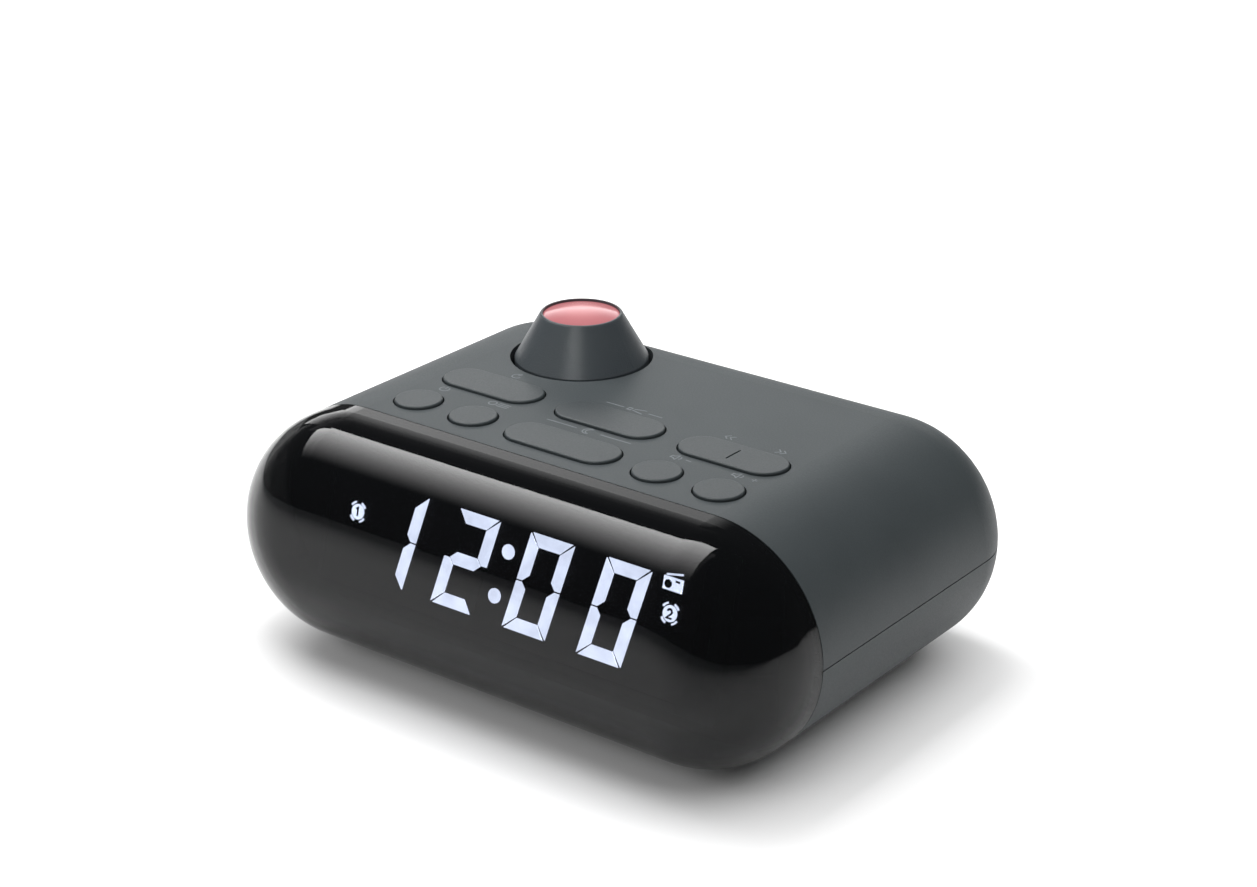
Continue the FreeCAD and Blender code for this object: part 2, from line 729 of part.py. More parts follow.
def front_cover():
    """Smoked cover, closed in front, with a tongue for the casing and two posts for the display."""
    outer = hull("front_cover_outer", "0")
    wall = shell_wall("front_cover", outer, "front", "cover_seam", "foot_proud", "top")
    tongue = lip("cover_lip", "wall + lip_thick", "cover_seam - lip_tall", "cover_seam + lip_tall",
                 "foot_proud", "top")
    posts = [rod(f"display_post_{side}", "display_post_radius", "cover_deep", x, y, "-module_thick")
             for side, (x, y) in DISPLAY_SCREW_SPOTS.items()]
    pilots = [rod(f"display_post_pilot_{side}", "board_screw_radius", "board_screw_long",
                  x, y, "display_board_under")
              for side, (x, y) in DISPLAY_SCREW_SPOTS.items()]
    drilled = lean(cut("display_posts", fuse("display_post_set", posts), fuse("display_pilots", pilots)))
    trimmed = common("front_cover_posts", drilled, hull("front_cover_limit", "wall / 2"))
    return keep(fuse("front_cover", [wall, tongue, trimmed]))


def rubber_feet():
    feet = [rod(f"rubber_foot_{spot}", "foot_radius", "foot_proud + foot_sink", x, y, 0)
            for spot, (x, y) in FOOT_SPOTS.items()]
    return keep(group("rubber_feet", feet))


def screw(name, head_radius, head_tall, shank_radius, shank_long, x, y, level, upwards=True):
    """A pan-head screw whose head's seat is at the level, with a cross recess in the head."""
    head_from = f"({level}) - ({head_tall})" if upwards else level
    shank_from = level if upwards else f"({level}) - ({shank_long})"
    face = head_from if upwards else f"({head_from}) + ({head_tall})"
    recess_long = f"1.2 * ({head_radius})"
    head = rod(name + "_head", head_radius, head_tall, x, y, head_from)
    shank = rod(name + "_shank", shank_radius, shank_long, x, y, shank_from)
    slots = [block(name + "_slot_x", recess_long, "recess_wide", "2 * recess_deep", x, y,
                   f"{face} - recess_deep"),
             block(name + "_slot_y", "recess_wide", recess_long, "2 * recess_deep", x, y,
                   f"{face} - recess_deep")]
    return cut(name, fuse(name + "_solid", [head, shank]), fuse(name + "_recess", slots))


def board_screw(name, x, y, level, upwards=True):
    """A small screw of the kind that holds every circuit board."""
    return screw(name, "board_head_radius", "board_head_tall", "board_screw_radius",
                 "board_screw_long", x, y, level, upwards)


def case_screws():
    screws = [screw(f"case_screw_{spot}", "case_head_radius", "case_head_tall", "case_screw_radius",
                    "case_screw_long", x, y, "case_head_under + case_head_tall")
              for spot, (x, y) in CASE_SCREW_SPOTS.items()]
    return keep(group("case_screws", screws))


# ---------------------------------------------------------------- buttons

def eased(name, base, size, level):
    """The piece with the sharp edges at one level rounded over."""
    DOC.recompute()
    height = value(level)
    item = make("Part::Fillet", name)
    item.Base = base
    item.Edges = [(number, value(size), value(size))
                  for number, edge in enumerate(base.Shape.Edges, start=1)
                  if edge.BoundBox.ZMin > height - 0.01 and edge.BoundBox.ZLength < 0.01]
    return item


def push_button(name, long, x, y):
    """A cap held under the casing by its flange, with a plunger pressed in from below."""
    cap = pill_or_rod(name + "_cap", long, "0", "cap_tall", x, y, "flange_under")
    rounded = eased(name + "_rounded", cap, "button_edge", "top + button_proud")
    flange = pill_or_rod(name + "_flange", long, "button_gap + flange_lap", "flange_thick",
                         x, y, "flange_under")
    socket = rod(name + "_socket", "plunger_radius", "plunger_sunk + 0.5", x, y, "flange_under - 0.5")
    keep(cut(name, fuse(name + "_solid", [rounded, flange]), socket))
    stem = name.replace("_button", "_plunger")
    keep(rod(stem, "plunger_radius", "plunger_long", x, y, "plunger_under"))


def hour_minute_rocker():
    """A long cap that rocks on a cross pin, with a nub over a switch at each end."""
    x = "rear_button_x"
    y = "rear_row_y"
    cap = pill_or_rod("rocker_cap", "rear_button_long", "0", "cap_tall", x, y, "flange_under")
    rounded = eased("rocker_rounded", cap, "button_edge", "top + button_proud")
    rib = block("rocker_rib", "rocker_rib_long", "button_wide - 1",
                "flange_under + 0.6 - pivot_z + rocker_pivot_radius + rocker_rib_lap",
                x, y, "pivot_z - rocker_pivot_radius - rocker_rib_lap")
    pin = rod("rocker_pin", "rocker_pivot_radius", "2 * rocker_ear_y + rocker_ear_thick", x,
              "rear_row_y - rocker_ear_y - rocker_ear_thick / 2", "pivot_z", "Y")
    nubs = [rod(f"rocker_nub_{side}", "plunger_radius", "flange_under + 0.5 - plunger_under",
                f"rear_button_x {sign} rocker_switch_at", y, "plunger_under")
            for side, sign in (("left", "-"), ("right", "+"))]
    line = block("rocker_line", "rocker_line_wide", "button_wide / 2", "1", x, y,
                 "top + button_proud - rocker_line_deep")
    keep(cut(ROCKER, fuse("rocker_solid", [rounded, rib, pin] + nubs), line))


def switch_places():
    """The x and y of every switch: one under each button, two under the rocker."""
    spots = {name: (x, y) for name, (long, x, y) in button_places().items() if name != ROCKER}
    spots["hour"] = ("rear_button_x - rocker_switch_at", "rear_row_y")
    spots["minute"] = ("rear_button_x + rocker_switch_at", "rear_row_y")
    return spots


def tact_switches():
    """Small push switches, each a square case with a round nub."""
    pieces = []
    for name, (x, y) in switch_places().items():
        case = block(f"{name}_switch_case", "switch_wide", "switch_wide", "switch_tall",
                     x, y, "button_board_top")
        nub = rod(f"{name}_switch_nub", "nub_radius", "nub_tall", x, y, "nub_top - nub_tall")
        pieces.append(fuse(f"{name}_switch", [case, nub]))
    keep(group("tact_switches", pieces))


def drilled_board(name, wide, deep, x, y, under, spots):
    """A circuit board with a clearance hole at every spot."""
    blank = block(name + "_blank", wide, deep, "board_thick", x, y, under)
    holes = [rod(f"{name}_hole_{spot}", "board_screw_radius + hole_clear", "board_thick + 2",
                 hole_x, hole_y, f"{under} - 1")
             for spot, (hole_x, hole_y) in spots.items()]
    return cut(name, blank, fuse(name + "_holes", holes))


def button_board():
    """The board that carries the switches, hung from four bosses by screws from below."""
    keep(drilled_board("button_board", "button_board_wide", "button_board_deep",
                       0, "button_board_edge - button_board_deep / 2", "button_board_under",
                       BOARD_SCREW_SPOTS))
    screws = [board_screw(f"button_board_screw_{spot}", x, y, "button_board_under")
              for spot, (x, y) in BOARD_SCREW_SPOTS.items()]
    keep(group("button_board_screws", screws))


# ---------------------------------------------------------------- projector

def focus_cone():
    """Turned cone: a thin wall with a rim round the lens and a hub that runs on the tube."""
    foot = "well_bottom + cone_floor_clear"
    hub_bore = "tube_radius + tube_fit"
    web = f"{foot} + cone_hub_tall"
    outline = [(hub_bore, foot), (f"{hub_bore} + cone_wall", foot),
               (f"{hub_bore} + cone_wall", web), ("cone_foot_radius - cone_wall", web),
               ("cone_foot_radius - cone_wall", foot), ("cone_foot_radius", foot),
               ("cone_foot_radius", "top"), ("cone_top_radius", "cone_top - cone_edge"),
               ("cone_top_radius - cone_edge", "cone_top"), ("cone_top_radius - cone_rim", "cone_top"),
               ("cone_top_radius - cone_rim", "tube_top + cone_lip_up"),
               ("cone_foot_radius - cone_wall - 1", "top"),
               ("cone_foot_radius - cone_wall - 1", f"{web} + cone_web"), (hub_bore, f"{web} + cone_web")]
    keep(turned("focus_cone", outline, "-projector_left", "projector_y"))


def projector_lens():
    """Flat-backed lens with a domed front, seated on the carrier's flange."""
    x = "-projector_left"
    y = "projector_y"
    edge = rod("lens_edge_cylinder", "lens_radius", "lens_edge_thick + lens_dome", x, y, "lens_under")
    ball = bind(make("Part::Sphere", "lens_ball"),
                {"Radius": "(lens_radius ^ 2 + lens_dome ^ 2) / (2 * lens_dome)"})
    place(ball, x, y, "lens_edge + lens_dome - (lens_radius ^ 2 + lens_dome ^ 2) / (2 * lens_dome)")
    keep(common("projector_lens", edge, ball))


def lens_carrier():
    """Barrel that slides in the projector tube, with a flange for the lens and two guide pins."""
    x = "-projector_left"
    y = "projector_y"
    flange = rod("carrier_flange_disc", "lens_radius", "carrier_flange", x, y, "lens_under - carrier_flange")
    barrel = rod("carrier_barrel", "carrier_radius", "carrier_long", x, y, "lens_under - carrier_long")
    pin = rod("carrier_pin", "focus_pin_radius", "2 * tube_radius + 1",
              "-projector_left - tube_radius - 0.5", y, "tube_top - focus_pin_drop", "X")
    bore = rod("carrier_bore", "carrier_radius - carrier_wall", "carrier_long + 2", x, y,
               "lens_under - carrier_long - 1")
    keep(cut("lens_carrier", fuse("lens_carrier_solid", [flange, barrel, pin]), bore))


def projector_tube():
    """Fixed tube with a flange under the well and two upright slots for the guide pins."""
    x = "-projector_left"
    y = "projector_y"
    wall = rod("projector_tube_wall", "tube_radius", "tube_long", x, y, "tube_bottom")
    flange = rod("projector_tube_flange", "tube_flange_radius", "tube_flange_thick", x, y,
                 "well_bottom - well_floor - tube_flange_thick")
    bore = rod("projector_tube_bore", "tube_bore", "tube_long + 2", x, y, "tube_bottom - 1")
    slot_half = "focus_travel + focus_pin_radius + seat_clear"
    slot = block("projector_tube_slot", "2 * tube_radius + 4", "2 * focus_pin_radius + seat_clear",
                 f"2 * ({slot_half})", x, y, f"tube_top - focus_pin_drop - ({slot_half})")
    keep(cut("projector_tube", fuse("projector_tube_solid", [wall, flange]),
             fuse("projector_tube_openings", [bore, slot])))


def projector_light():
    """The lit numeral slide, the condenser lens, the light source and its board."""
    x = "-projector_left"
    y = "projector_y"
    keep(rod("numeral_slide", "tube_bore", "slide_thick", x, y, "tube_top - slide_drop"))
    keep(rod("condenser_lens", "tube_bore", "condenser_thick", x, y, "tube_top - condenser_drop"))
    keep(block("projector_board", "projector_board_wide", "projector_board_wide", "board_thick",
               x, y, "tube_bottom - board_thick"))
    keep(block("projector_led", "led_wide", "led_wide", "led_tall", x, y, "tube_bottom"))


# ---------------------------------------------------------------- display

def segment_shapes():
    """The seven bars of one upright digit, named as usual, each a list of flat corner points."""
    half = value("digit_tall / 2")
    side = value("digit_wide / 2")
    thick = value("segment_wide")
    gap = value("segment_gap / 2")
    chamfer = value("segment_chamfer")
    inner = side - thick
    mid = thick / 2

    def bar(level):
        return [(-side + mid + gap, level), (-inner + gap, level + mid), (inner - gap, level + mid),
                (side - mid - gap, level), (inner - gap, level - mid), (-inner + gap, level - mid)]

    def edge_bar(sign):
        outside = half * sign
        inside = (half - thick) * sign
        return [(-side + gap + chamfer, outside), (side - gap - chamfer, outside),
                (inner - gap, inside), (-inner + gap, inside)]

    def post(across, up):
        outside = side * across
        inside = inner * across
        return [(outside, (half - gap) * up), (inside, (half - thick - gap) * up), (inside, (mid + gap) * up),
                ((side - mid) * across, gap * up), (outside, gap * up)]

    return {"a": edge_bar(1), "d": edge_bar(-1), "g": bar(0), "b": post(1, 1), "c": post(1, -1),
            "f": post(-1, 1), "e": post(-1, -1)}


def digit(letters, centre):
    """Chosen bars of one slanted digit, as separate solids."""
    slant = math.tan(math.radians(value("digit_slant")))
    rise = FreeCAD.Vector(0, 0, value("segment_proud"))
    solids = []
    for letter in letters:
        corners = [FreeCAD.Vector(centre + u + v * slant, v, 0) for u, v in segment_shapes()[letter]]
        face = Part.Face(Part.makePolygon(corners + corners[:1]))
        solids.append(face.extrude(rise))
    return solids


LIT_BARS = ("bc", "abged", "abcdef", "abcdef")
DIGIT_STEPS = (-1.5, -0.5, 0.5, 1.5)
HIDDEN_BARS = ("", "cf", "g", "g")


def digit_node(name, letters_by_digit, extra=()):
    """One node with the chosen bars of all four digits and any extra solids."""
    solids = list(extra)
    for step, letters in zip(DIGIT_STEPS, letters_by_digit):
        solids += digit(letters, step * value("digit_pitch"))
    item = make("Part::Feature", name)
    item.Shape = Part.makeCompound(solids)
    keep(lean(item))


def colon_dots():
    """The two round dots between hours and minutes."""
    slant = math.tan(math.radians(value("digit_slant")))
    rise = value("segment_proud")
    levels = (-value("colon_up"), value("colon_up"))
    return [Part.makeCylinder(value("colon_radius"), rise, FreeCAD.Vector(up * slant, up, 0))
            for up in levels]


def display_module():
    """Reflector block with the bars on its face, the board behind it and that board's screws."""
    blank = block("display_module_blank", "module_wide", "module_tall", "module_thick + window_sink",
                  0, 0, "-module_thick")
    window = block("display_module_window", "module_wide - 2 * window_margin",
                   "module_tall - 2 * window_margin", "window_sink + 1", 0, 0, 0)
    keep(lean(cut("display_module", blank, window)))
    digit_node("display_digits_lit", LIT_BARS, colon_dots())
    digit_node("display_digits_dark", HIDDEN_BARS)
    keep(lean(drilled_board("display_board", "display_board_wide", "display_board_tall",
                            0, 0, "display_board_under", DISPLAY_SCREW_SPOTS)))
    screws = [board_screw(f"display_board_screw_{side}", x, y, "display_board_under")
              for side, (x, y) in DISPLAY_SCREW_SPOTS.items()]
    keep(lean(group("display_board_screws", screws)))


# ---------------------------------------------------------------- main board and sound

def main_board():
    """The large board on four bosses, with its chips, crystal and capacitors."""
    x = "main_board_x"
    y = "main_board_back"
    top = "main_board_top"
    keep(drilled_board("main_board", "main_board_wide", "main_board_deep", x, y,
                       "main_board_under", MAIN_SCREW_SPOTS))
    screws = [board_screw(f"main_board_screw_{spot}", hole_x, hole_y, top, False)
              for spot, (hole_x, hole_y) in MAIN_SCREW_SPOTS.items()]
    keep(group("main_board_screws", screws))
    keep(block("clock_chip", "clock_chip_wide", "clock_chip_wide", "clock_chip_tall",
               f"{x} + 8", f"{y} - 12", top))
    keep(block("radio_chip", "radio_chip_wide", "radio_chip_long", "radio_chip_tall",
               f"{x} - 20", f"{y} - 12", top))
    keep(rod("tuning_crystal", "crystal_radius", "crystal_long", f"{x} - 8", f"{y} + 6",
             "main_board_top + crystal_radius", "X"))
    capacitors = [rod(f"capacitor_{step}", "capacitor_radius", "capacitor_tall",
                      f"{x} + 22", f"{y} - 8 + {step} * capacitor_pitch", top)
                  for step in range(3)]
    keep(group("capacitors", capacitors))


def speaker():
    """Round speaker facing down over the grille, on a foam ring."""
    x = "speaker_x"
    y = "speaker_back"
    edge = "speaker_radius - gasket_wide"
    thick = "speaker_frame_thick"
    keep(ring("speaker_gasket", "speaker_radius", edge, "gasket_thick", x, y, "floor"))
    basket = [(edge, "speaker_seat"), ("speaker_radius", "speaker_seat"),
              ("speaker_radius", f"speaker_seat + {thick}"), (f"{edge} + {thick}", f"speaker_seat + {thick}"),
              (f"speaker_neck + {thick}", "speaker_back_z"), ("speaker_coil", "speaker_back_z"),
              ("speaker_coil", f"speaker_back_z - {thick}"), ("speaker_neck", f"speaker_back_z - {thick}"),
              (edge, f"speaker_seat + {thick} + hole_clear")]
    keep(turned("speaker_frame", basket, x, y))
    apex = "speaker_seat + cone_paper_up"
    rim = "speaker_seat + 0.1"
    paper = [(0, apex), ("dust_cap_radius", apex), (edge, rim), (edge, f"{rim} + cone_paper"),
             ("dust_cap_radius", f"{apex} + cone_paper + hole_clear"),
             (0, f"{apex} + cone_paper + hole_clear")]
    keep(turned("speaker_cone", paper, x, y))
    keep(rod("speaker_magnet", "magnet_radius", "magnet_tall", x, y, "speaker_back_z"))


def backup_cell():
    """Coin cell in its pocket over a screwed door, and the spring contact above it."""
    x = "cell_x"
    y = "cell_y"
    keep(rod("coin_cell", "cell_radius", "cell_thick", x, y, "foot_proud + door_thick"))
    door = block("battery_door_blank", "door_long", "door_wide", "door_thick", x, y, "foot_proud")
    hole = rod("battery_door_hole", "board_screw_radius + hole_clear", "door_thick + 2",
               "door_screw_x", y, "foot_proud - 1")
    seat = "foot_proud + door_head_sink + door_head_tall"
    sink = rod("battery_door_sink", "board_head_radius + hole_clear", f"{seat} + 1 - foot_proud",
               "door_screw_x", y, "foot_proud - 1")
    keep(cut("battery_door", door, fuse("battery_door_openings", [hole, sink])))
    keep(screw("battery_door_screw", "board_head_radius", "door_head_tall", "board_screw_radius",
               "door_screw_long", "door_screw_x", y, seat))
    keep(block("battery_contact", "contact_long", "contact_wide", "contact_thick", x, y, "cell_top"))


# ---------------------------------------------------------------- rear wall and cables

def dc_jack():
    """Round socket for the supply plug, with its flange let into the rear wall, and its nut."""
    x = "-jack_left"
    z = "socket_z"
    flange = rod("dc_jack_flange", "jack_flange_radius", "jack_flange_thick",
                 x, "rear - jack_flange_thick", z, "Y")
    barrel = rod("dc_jack_barrel", "jack_radius", "jack_long", x, "rear - jack_long", z, "Y")
    bore = rod("dc_jack_bore", "jack_bore_radius", "jack_bore_deep + 1", x, "rear - jack_bore_deep", z, "Y")
    pin = rod("dc_jack_pin", "jack_pin_radius", "jack_bore_deep", x, "rear - jack_bore_deep - 0.5", z, "Y")
    hollow = cut("dc_jack_hollow", fuse("dc_jack_solid", [flange, barrel]), bore)
    keep(fuse("dc_jack", [hollow, pin]))
    keep(ring("dc_jack_nut", "jack_flange_radius", "jack_radius", "nut_thick",
              x, "rear - wall - nut_thick", z, "Y"))


def antenna_grommet():
    """Rubber ring that seals the wire aerial's outlet."""
    x = "grommet_right"
    z = "socket_z"
    outside = rod("grommet_outside", "grommet_radius", "grommet_lip", x, "rear - grommet_lip", z, "Y")
    neck = rod("grommet_neck", "grommet_radius - grommet_groove", "wall", x, "rear - wall", z, "Y")
    inside = rod("grommet_inside", "grommet_radius", "grommet_lip", x, "rear - wall - grommet_lip", z, "Y")
    bore = rod("grommet_bore", "grommet_bore_radius", "wall + 2 * seat_deep", x,
               "rear - wall - seat_deep", z, "Y")
    keep(cut("antenna_grommet", fuse("grommet_solid", [outside, neck, inside]), bore))


def display_ribbon():
    """Flat cable that falls from the back of the display board onto the main board."""
    back = "display_y + (module_thick + board_thick) * cos(display_tilt)"
    land = "main_board_back - main_board_deep / 2"
    start = "display_z - 15"
    over = "main_board_top + ribbon_thick"
    outline = [(f"{back} - 3.2", start), (f"{back} + 3", start), (f"{land} - 3", "main_board_top"),
               (f"{land} + 4", "main_board_top"), (f"{land} + 4", over), (f"{land} - 2.6", over),
               (f"{back} + 3.4", f"{start} + ribbon_thick"), (f"{back} - 3.1", f"{start} + ribbon_thick")]
    keep(strip("display_ribbon", outline, "ribbon_wide", "main_board_x"))


def button_ribbon():
    """Flat cable that hangs from under the button board onto the main board."""
    edge = "button_board_edge"
    under = "button_board_under"
    over = "main_board_top + ribbon_thick"
    outline = [(f"{edge} - 5", under), (f"{edge} - 5", f"{under} - ribbon_thick"),
               (f"{edge} - 1", f"{under} - ribbon_thick"), (f"{edge} + 1", "main_board_top + 3"),
               (f"{edge} - 2", over), (f"{edge} - 6", over), (f"{edge} - 6", "main_board_top"),
               (f"{edge} - 1.8", "main_board_top"), (f"{edge} + 1.4", "main_board_top + 2.9"),
               (f"{edge} - 0.6", under)]
    keep(strip("button_ribbon", outline, "ribbon_wide / 2", "main_board_x - 8"))


def check_and_write():
    """Stops on a failed object or an unsound piece, then writes one file per piece."""
    DOC.recompute()
    failed = [item.Name for item in DOC.Objects if {"Invalid", "Error"} & set(item.State)]
    unsound = [item.Label for item in NODES if item.Shape.isNull() or not item.Shape.isValid()]
    if failed or unsound:
        raise SystemExit(f"failed objects {failed}, unsound pieces {unsound}")
    os.makedirs("parts", exist_ok=True)
    for item in NODES:
        item.Shape.exportStep(f"parts/{item.Label}.step")
        print(item.Label, len(item.Shape.Solids), round(item.Shape.Volume, 1))


front_cover()
top_shell()
bottom_shell()
rubber_feet()
case_screws()
for button, (length, across, along) in button_places().items():
    if button != ROCKER:
        push_button(button, length, across, along)
hour_minute_rocker()
tact_switches()
button_board()
focus_cone()
projector_lens()
lens_carrier()
projector_tube()
projector_light()
display_module()
main_board()
speaker()
backup_cell()
dc_jack()
antenna_grommet()
display_ribbon()
button_ribbon()
check_and_write()
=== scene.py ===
"""Looks of a projection clock radio: finishes, printed signs, lit display and a studio."""

import logging
import math
from dataclasses import dataclass, field
from enum import Enum
from typing import Any, Optional, Sequence

import bmesh
import bpy
from mathutils import Matrix, Vector


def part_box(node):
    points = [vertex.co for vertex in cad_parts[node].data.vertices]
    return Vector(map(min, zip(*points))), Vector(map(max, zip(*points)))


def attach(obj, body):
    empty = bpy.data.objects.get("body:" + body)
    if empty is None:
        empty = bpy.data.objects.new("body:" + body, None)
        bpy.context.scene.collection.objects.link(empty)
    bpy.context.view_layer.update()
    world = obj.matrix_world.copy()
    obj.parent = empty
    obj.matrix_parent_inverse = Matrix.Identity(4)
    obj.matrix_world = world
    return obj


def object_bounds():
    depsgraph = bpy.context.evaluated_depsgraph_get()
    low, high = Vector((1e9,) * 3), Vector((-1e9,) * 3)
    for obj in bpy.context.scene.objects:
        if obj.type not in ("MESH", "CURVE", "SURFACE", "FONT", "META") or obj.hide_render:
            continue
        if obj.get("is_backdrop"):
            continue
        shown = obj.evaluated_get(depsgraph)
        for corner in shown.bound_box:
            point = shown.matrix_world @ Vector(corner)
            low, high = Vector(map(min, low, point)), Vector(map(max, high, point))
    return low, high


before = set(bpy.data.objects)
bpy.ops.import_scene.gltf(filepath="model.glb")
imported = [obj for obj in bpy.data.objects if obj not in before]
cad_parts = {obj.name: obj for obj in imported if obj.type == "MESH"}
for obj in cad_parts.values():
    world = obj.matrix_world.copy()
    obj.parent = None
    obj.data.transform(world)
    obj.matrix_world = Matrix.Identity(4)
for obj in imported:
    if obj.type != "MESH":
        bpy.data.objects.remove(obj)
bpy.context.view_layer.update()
LOG = logging.getLogger("clock_radio")
MM = 0.001
CONTRAST_LOW, CONTRAST_HIGH = 0.3, 0.7
TINY_MM = 1e-6
MITRE_LIMIT = 0.5

Point = tuple[float, float]


# ------------------------------------------------------------------ shared tools

def linear(hex_colour: str) -> tuple[float, float, float, float]:
    """Turn an sRGB hex colour into linear values.

    Args:
        hex_colour: Six hex digits after a hash sign.

    Returns:
        Red, green, blue and an alpha of one.
    """
    parts = [int(hex_colour[i:i + 2], 16) / 255 for i in (1, 3, 5)]
    red, green, blue = (p / 12.92 if p <= 0.04045 else ((p + 0.055) / 1.055) ** 2.4 for p in parts)
    return red, green, blue, 1.0


def per_metre(size_mm: float) -> float:
    """Give the texture scale at which one pattern cell is the size in millimetres."""
    return 1.0 / (size_mm * MM)


def add_node(tree: bpy.types.NodeTree, kind: str, values: Optional[dict[Any, Any]] = None,
             links: Optional[dict[Any, bpy.types.NodeSocket]] = None, **settings: Any) -> bpy.types.Node:
    """Add a shader node with its settings, socket values and incoming links.

    Args:
        tree: The material's node tree.
        kind: The node's type name without the ShaderNode prefix.
        values: Values of input sockets, by name or index.
        links: Sockets that feed input sockets, by name or index.
        **settings: Properties of the node itself.

    Returns:
        The new node.
    """
    node = tree.nodes.new("ShaderNode" + kind)
    for name, setting in settings.items():
        setattr(node, name, setting)
    for key, number in (values or {}).items():
        node.inputs[key].default_value = number
    for key, socket in (links or {}).items():
        tree.links.new(socket, node.inputs[key])
    return node


def two_tone(tree: bpy.types.NodeTree, factor: bpy.types.NodeSocket,
             first: str, second: str) -> bpy.types.NodeSocket:
    """Blend two hex colours by a factor socket.

    Args:
        tree: The material's node tree.
        factor: Zero gives the first colour and one the second.
        first: Hex colour.
        second: Hex colour.

    Returns:
        The colour socket of the blend.
    """
    mix = add_node(tree, "Mix", {6: linear(first), 7: linear(second)}, {0: factor}, data_type="RGBA")
    return mix.outputs[2]


# ------------------------------------------------------------------ finishes

@dataclass(frozen=True)
class Finish:
    """A real material and how its surface was made."""

    label: str

    def material(self) -> bpy.types.Material:
        """Give the material, built on first use."""
        known = bpy.data.materials.get(self.label)
        if known is not None and known.get("built"):
            return known
        made = bpy.data.materials.new(self.label)
        made.use_nodes = True
        made.node_tree.nodes.clear()
        made["built"] = True
        output = add_node(made.node_tree, "OutputMaterial")
        surface = self.surface(made.node_tree)
        made.node_tree.links.new(surface, output.inputs["Surface"])
        return made

    def surface(self, tree: bpy.types.NodeTree) -> bpy.types.NodeSocket:
        """Build the shader and give its output socket."""
        raise NotImplementedError

    def dress(self, thing: bpy.types.Object) -> None:
        """Give the finish to a mesh object as its only material."""
        thing.data.materials.clear()
        thing.data.materials.append(self.material())


def noise(tree: bpy.types.NodeTree, size_mm: float, detail: float = 3.0) -> bpy.types.NodeSocket:
    """Noise in the object's own space.

    Args:
        tree: The material's node tree.
        size_mm: Width of one blotch or grain.
        detail: Octaves of finer noise.

    Returns:
        The factor socket.
    """
    where = add_node(tree, "TexCoord").outputs["Object"]
    return add_node(tree, "TexNoise", {"Scale": per_metre(size_mm), "Detail": detail},
                    {"Vector": where}).outputs[0]


def spread(tree: bpy.types.NodeTree, factor: bpy.types.NodeSocket,
           low: float, high: float) -> bpy.types.NodeSocket:
    """Map the middle of a pattern's contrast onto a range of values.

    Args:
        tree: The material's node tree.
        factor: Pattern between zero and one.
        low: Value where the pattern is low.
        high: Value where the pattern is high.

    Returns:
        The mapped socket.
    """
    values = {"From Min": CONTRAST_LOW, "From Max": CONTRAST_HIGH, "To Min": low, "To Max": high}
    return add_node(tree, "MapRange", values, {"Value": factor}).outputs[0]


def relief(tree: bpy.types.NodeTree, height: bpy.types.NodeSocket, depth_mm: float) -> bpy.types.NodeSocket:
    """A normal socket for fine surface relief.

    Args:
        tree: The material's node tree.
        height: Height pattern between zero and one.
        depth_mm: Depth from the pattern's lowest to its highest point.

    Returns:
        The bumped normal.
    """
    return add_node(tree, "Bump", {"Strength": 1.0, "Distance": depth_mm * MM}, {"Height": height}).outputs[0]


@dataclass(frozen=True)
class MouldedPlastic(Finish):
    """Injection-moulded plastic from a sparked or bead-blasted mould: an even, fine-grained sheen."""

    base: str = "#5A5F62"
    shade: str = "#54595C"
    roughness: float = 0.5
    grain_mm: float = 0.35
    grain_depth_mm: float = 0.012
    mottle_mm: float = 18.0
    gloss: float = 0.35
    swing: float = 0.05

    def surface(self, tree: bpy.types.NodeTree) -> bpy.types.NodeSocket:
        """Even colour with faint flow marks, and a grain that breaks up the highlight."""
        blotch = noise(tree, self.mottle_mm)
        grain = noise(tree, self.grain_mm, 2.0)
        shader = add_node(
            tree, "BsdfPrincipled", {"IOR": 1.5, "Specular IOR Level": self.gloss},
            {"Base Color": two_tone(tree, spread(tree, blotch, 0.0, 1.0), self.base, self.shade),
             "Roughness": spread(tree, grain, self.roughness - self.swing, self.roughness + self.swing),
             "Normal": relief(tree, grain, self.grain_depth_mm)})
        return shader.outputs[0]


@dataclass(frozen=True)
class SmokedPmma(Finish):
    """Injection-moulded smoked acrylic: near black, mirror-smooth, and what is lit behind shows through."""

    base: str = "#050607"
    roughness: float = 0.045
    cover: float = 0.8
    gloss: float = 0.35
    smear_mm: float = 30.0
    wiped: str = "#08090B"
    swing: float = 0.004

    def surface(self, tree: bpy.types.NodeTree) -> bpy.types.NodeSocket:
        """Partly see-through black with a polished face and faint wiping marks in its gloss."""
        smear = noise(tree, self.smear_mm)
        shader = add_node(
            tree, "BsdfPrincipled",
            {"IOR": 1.49, "Alpha": self.cover, "Specular IOR Level": self.gloss},
            {"Base Color": two_tone(tree, smear, self.base, self.wiped),
             "Roughness": spread(tree, smear, self.roughness - self.swing, self.roughness + self.swing)})
        return shader.outputs[0]


@dataclass(frozen=True)
class LitDiffuser(Finish):
    """Milky diffuser over light-emitting chips: a glow that is even but for a faint cloudiness."""

    base: str = "#EEF2FA"
    glow: str = "#DCE6FF"
    power: float = 25.0
    cell_mm: float = 5.0
    bright: str = "#FFFFFF"
    weakest: float = 0.85
    strongest: float = 1.1

    def surface(self, tree: bpy.types.NodeTree) -> bpy.types.NodeSocket:
        """Emission over satin plastic, a touch uneven as light from small chips is."""
        cloud = noise(tree, self.cell_mm)
        shader = add_node(
            tree, "BsdfPrincipled", {"Roughness": 0.4, "Emission Color": linear(self.glow)},
            {"Base Color": two_tone(tree, cloud, self.base, self.bright),
             "Emission Strength": spread(tree, cloud, self.power * self.weakest,
                                         self.power * self.strongest)})
        return shader.outputs[0]


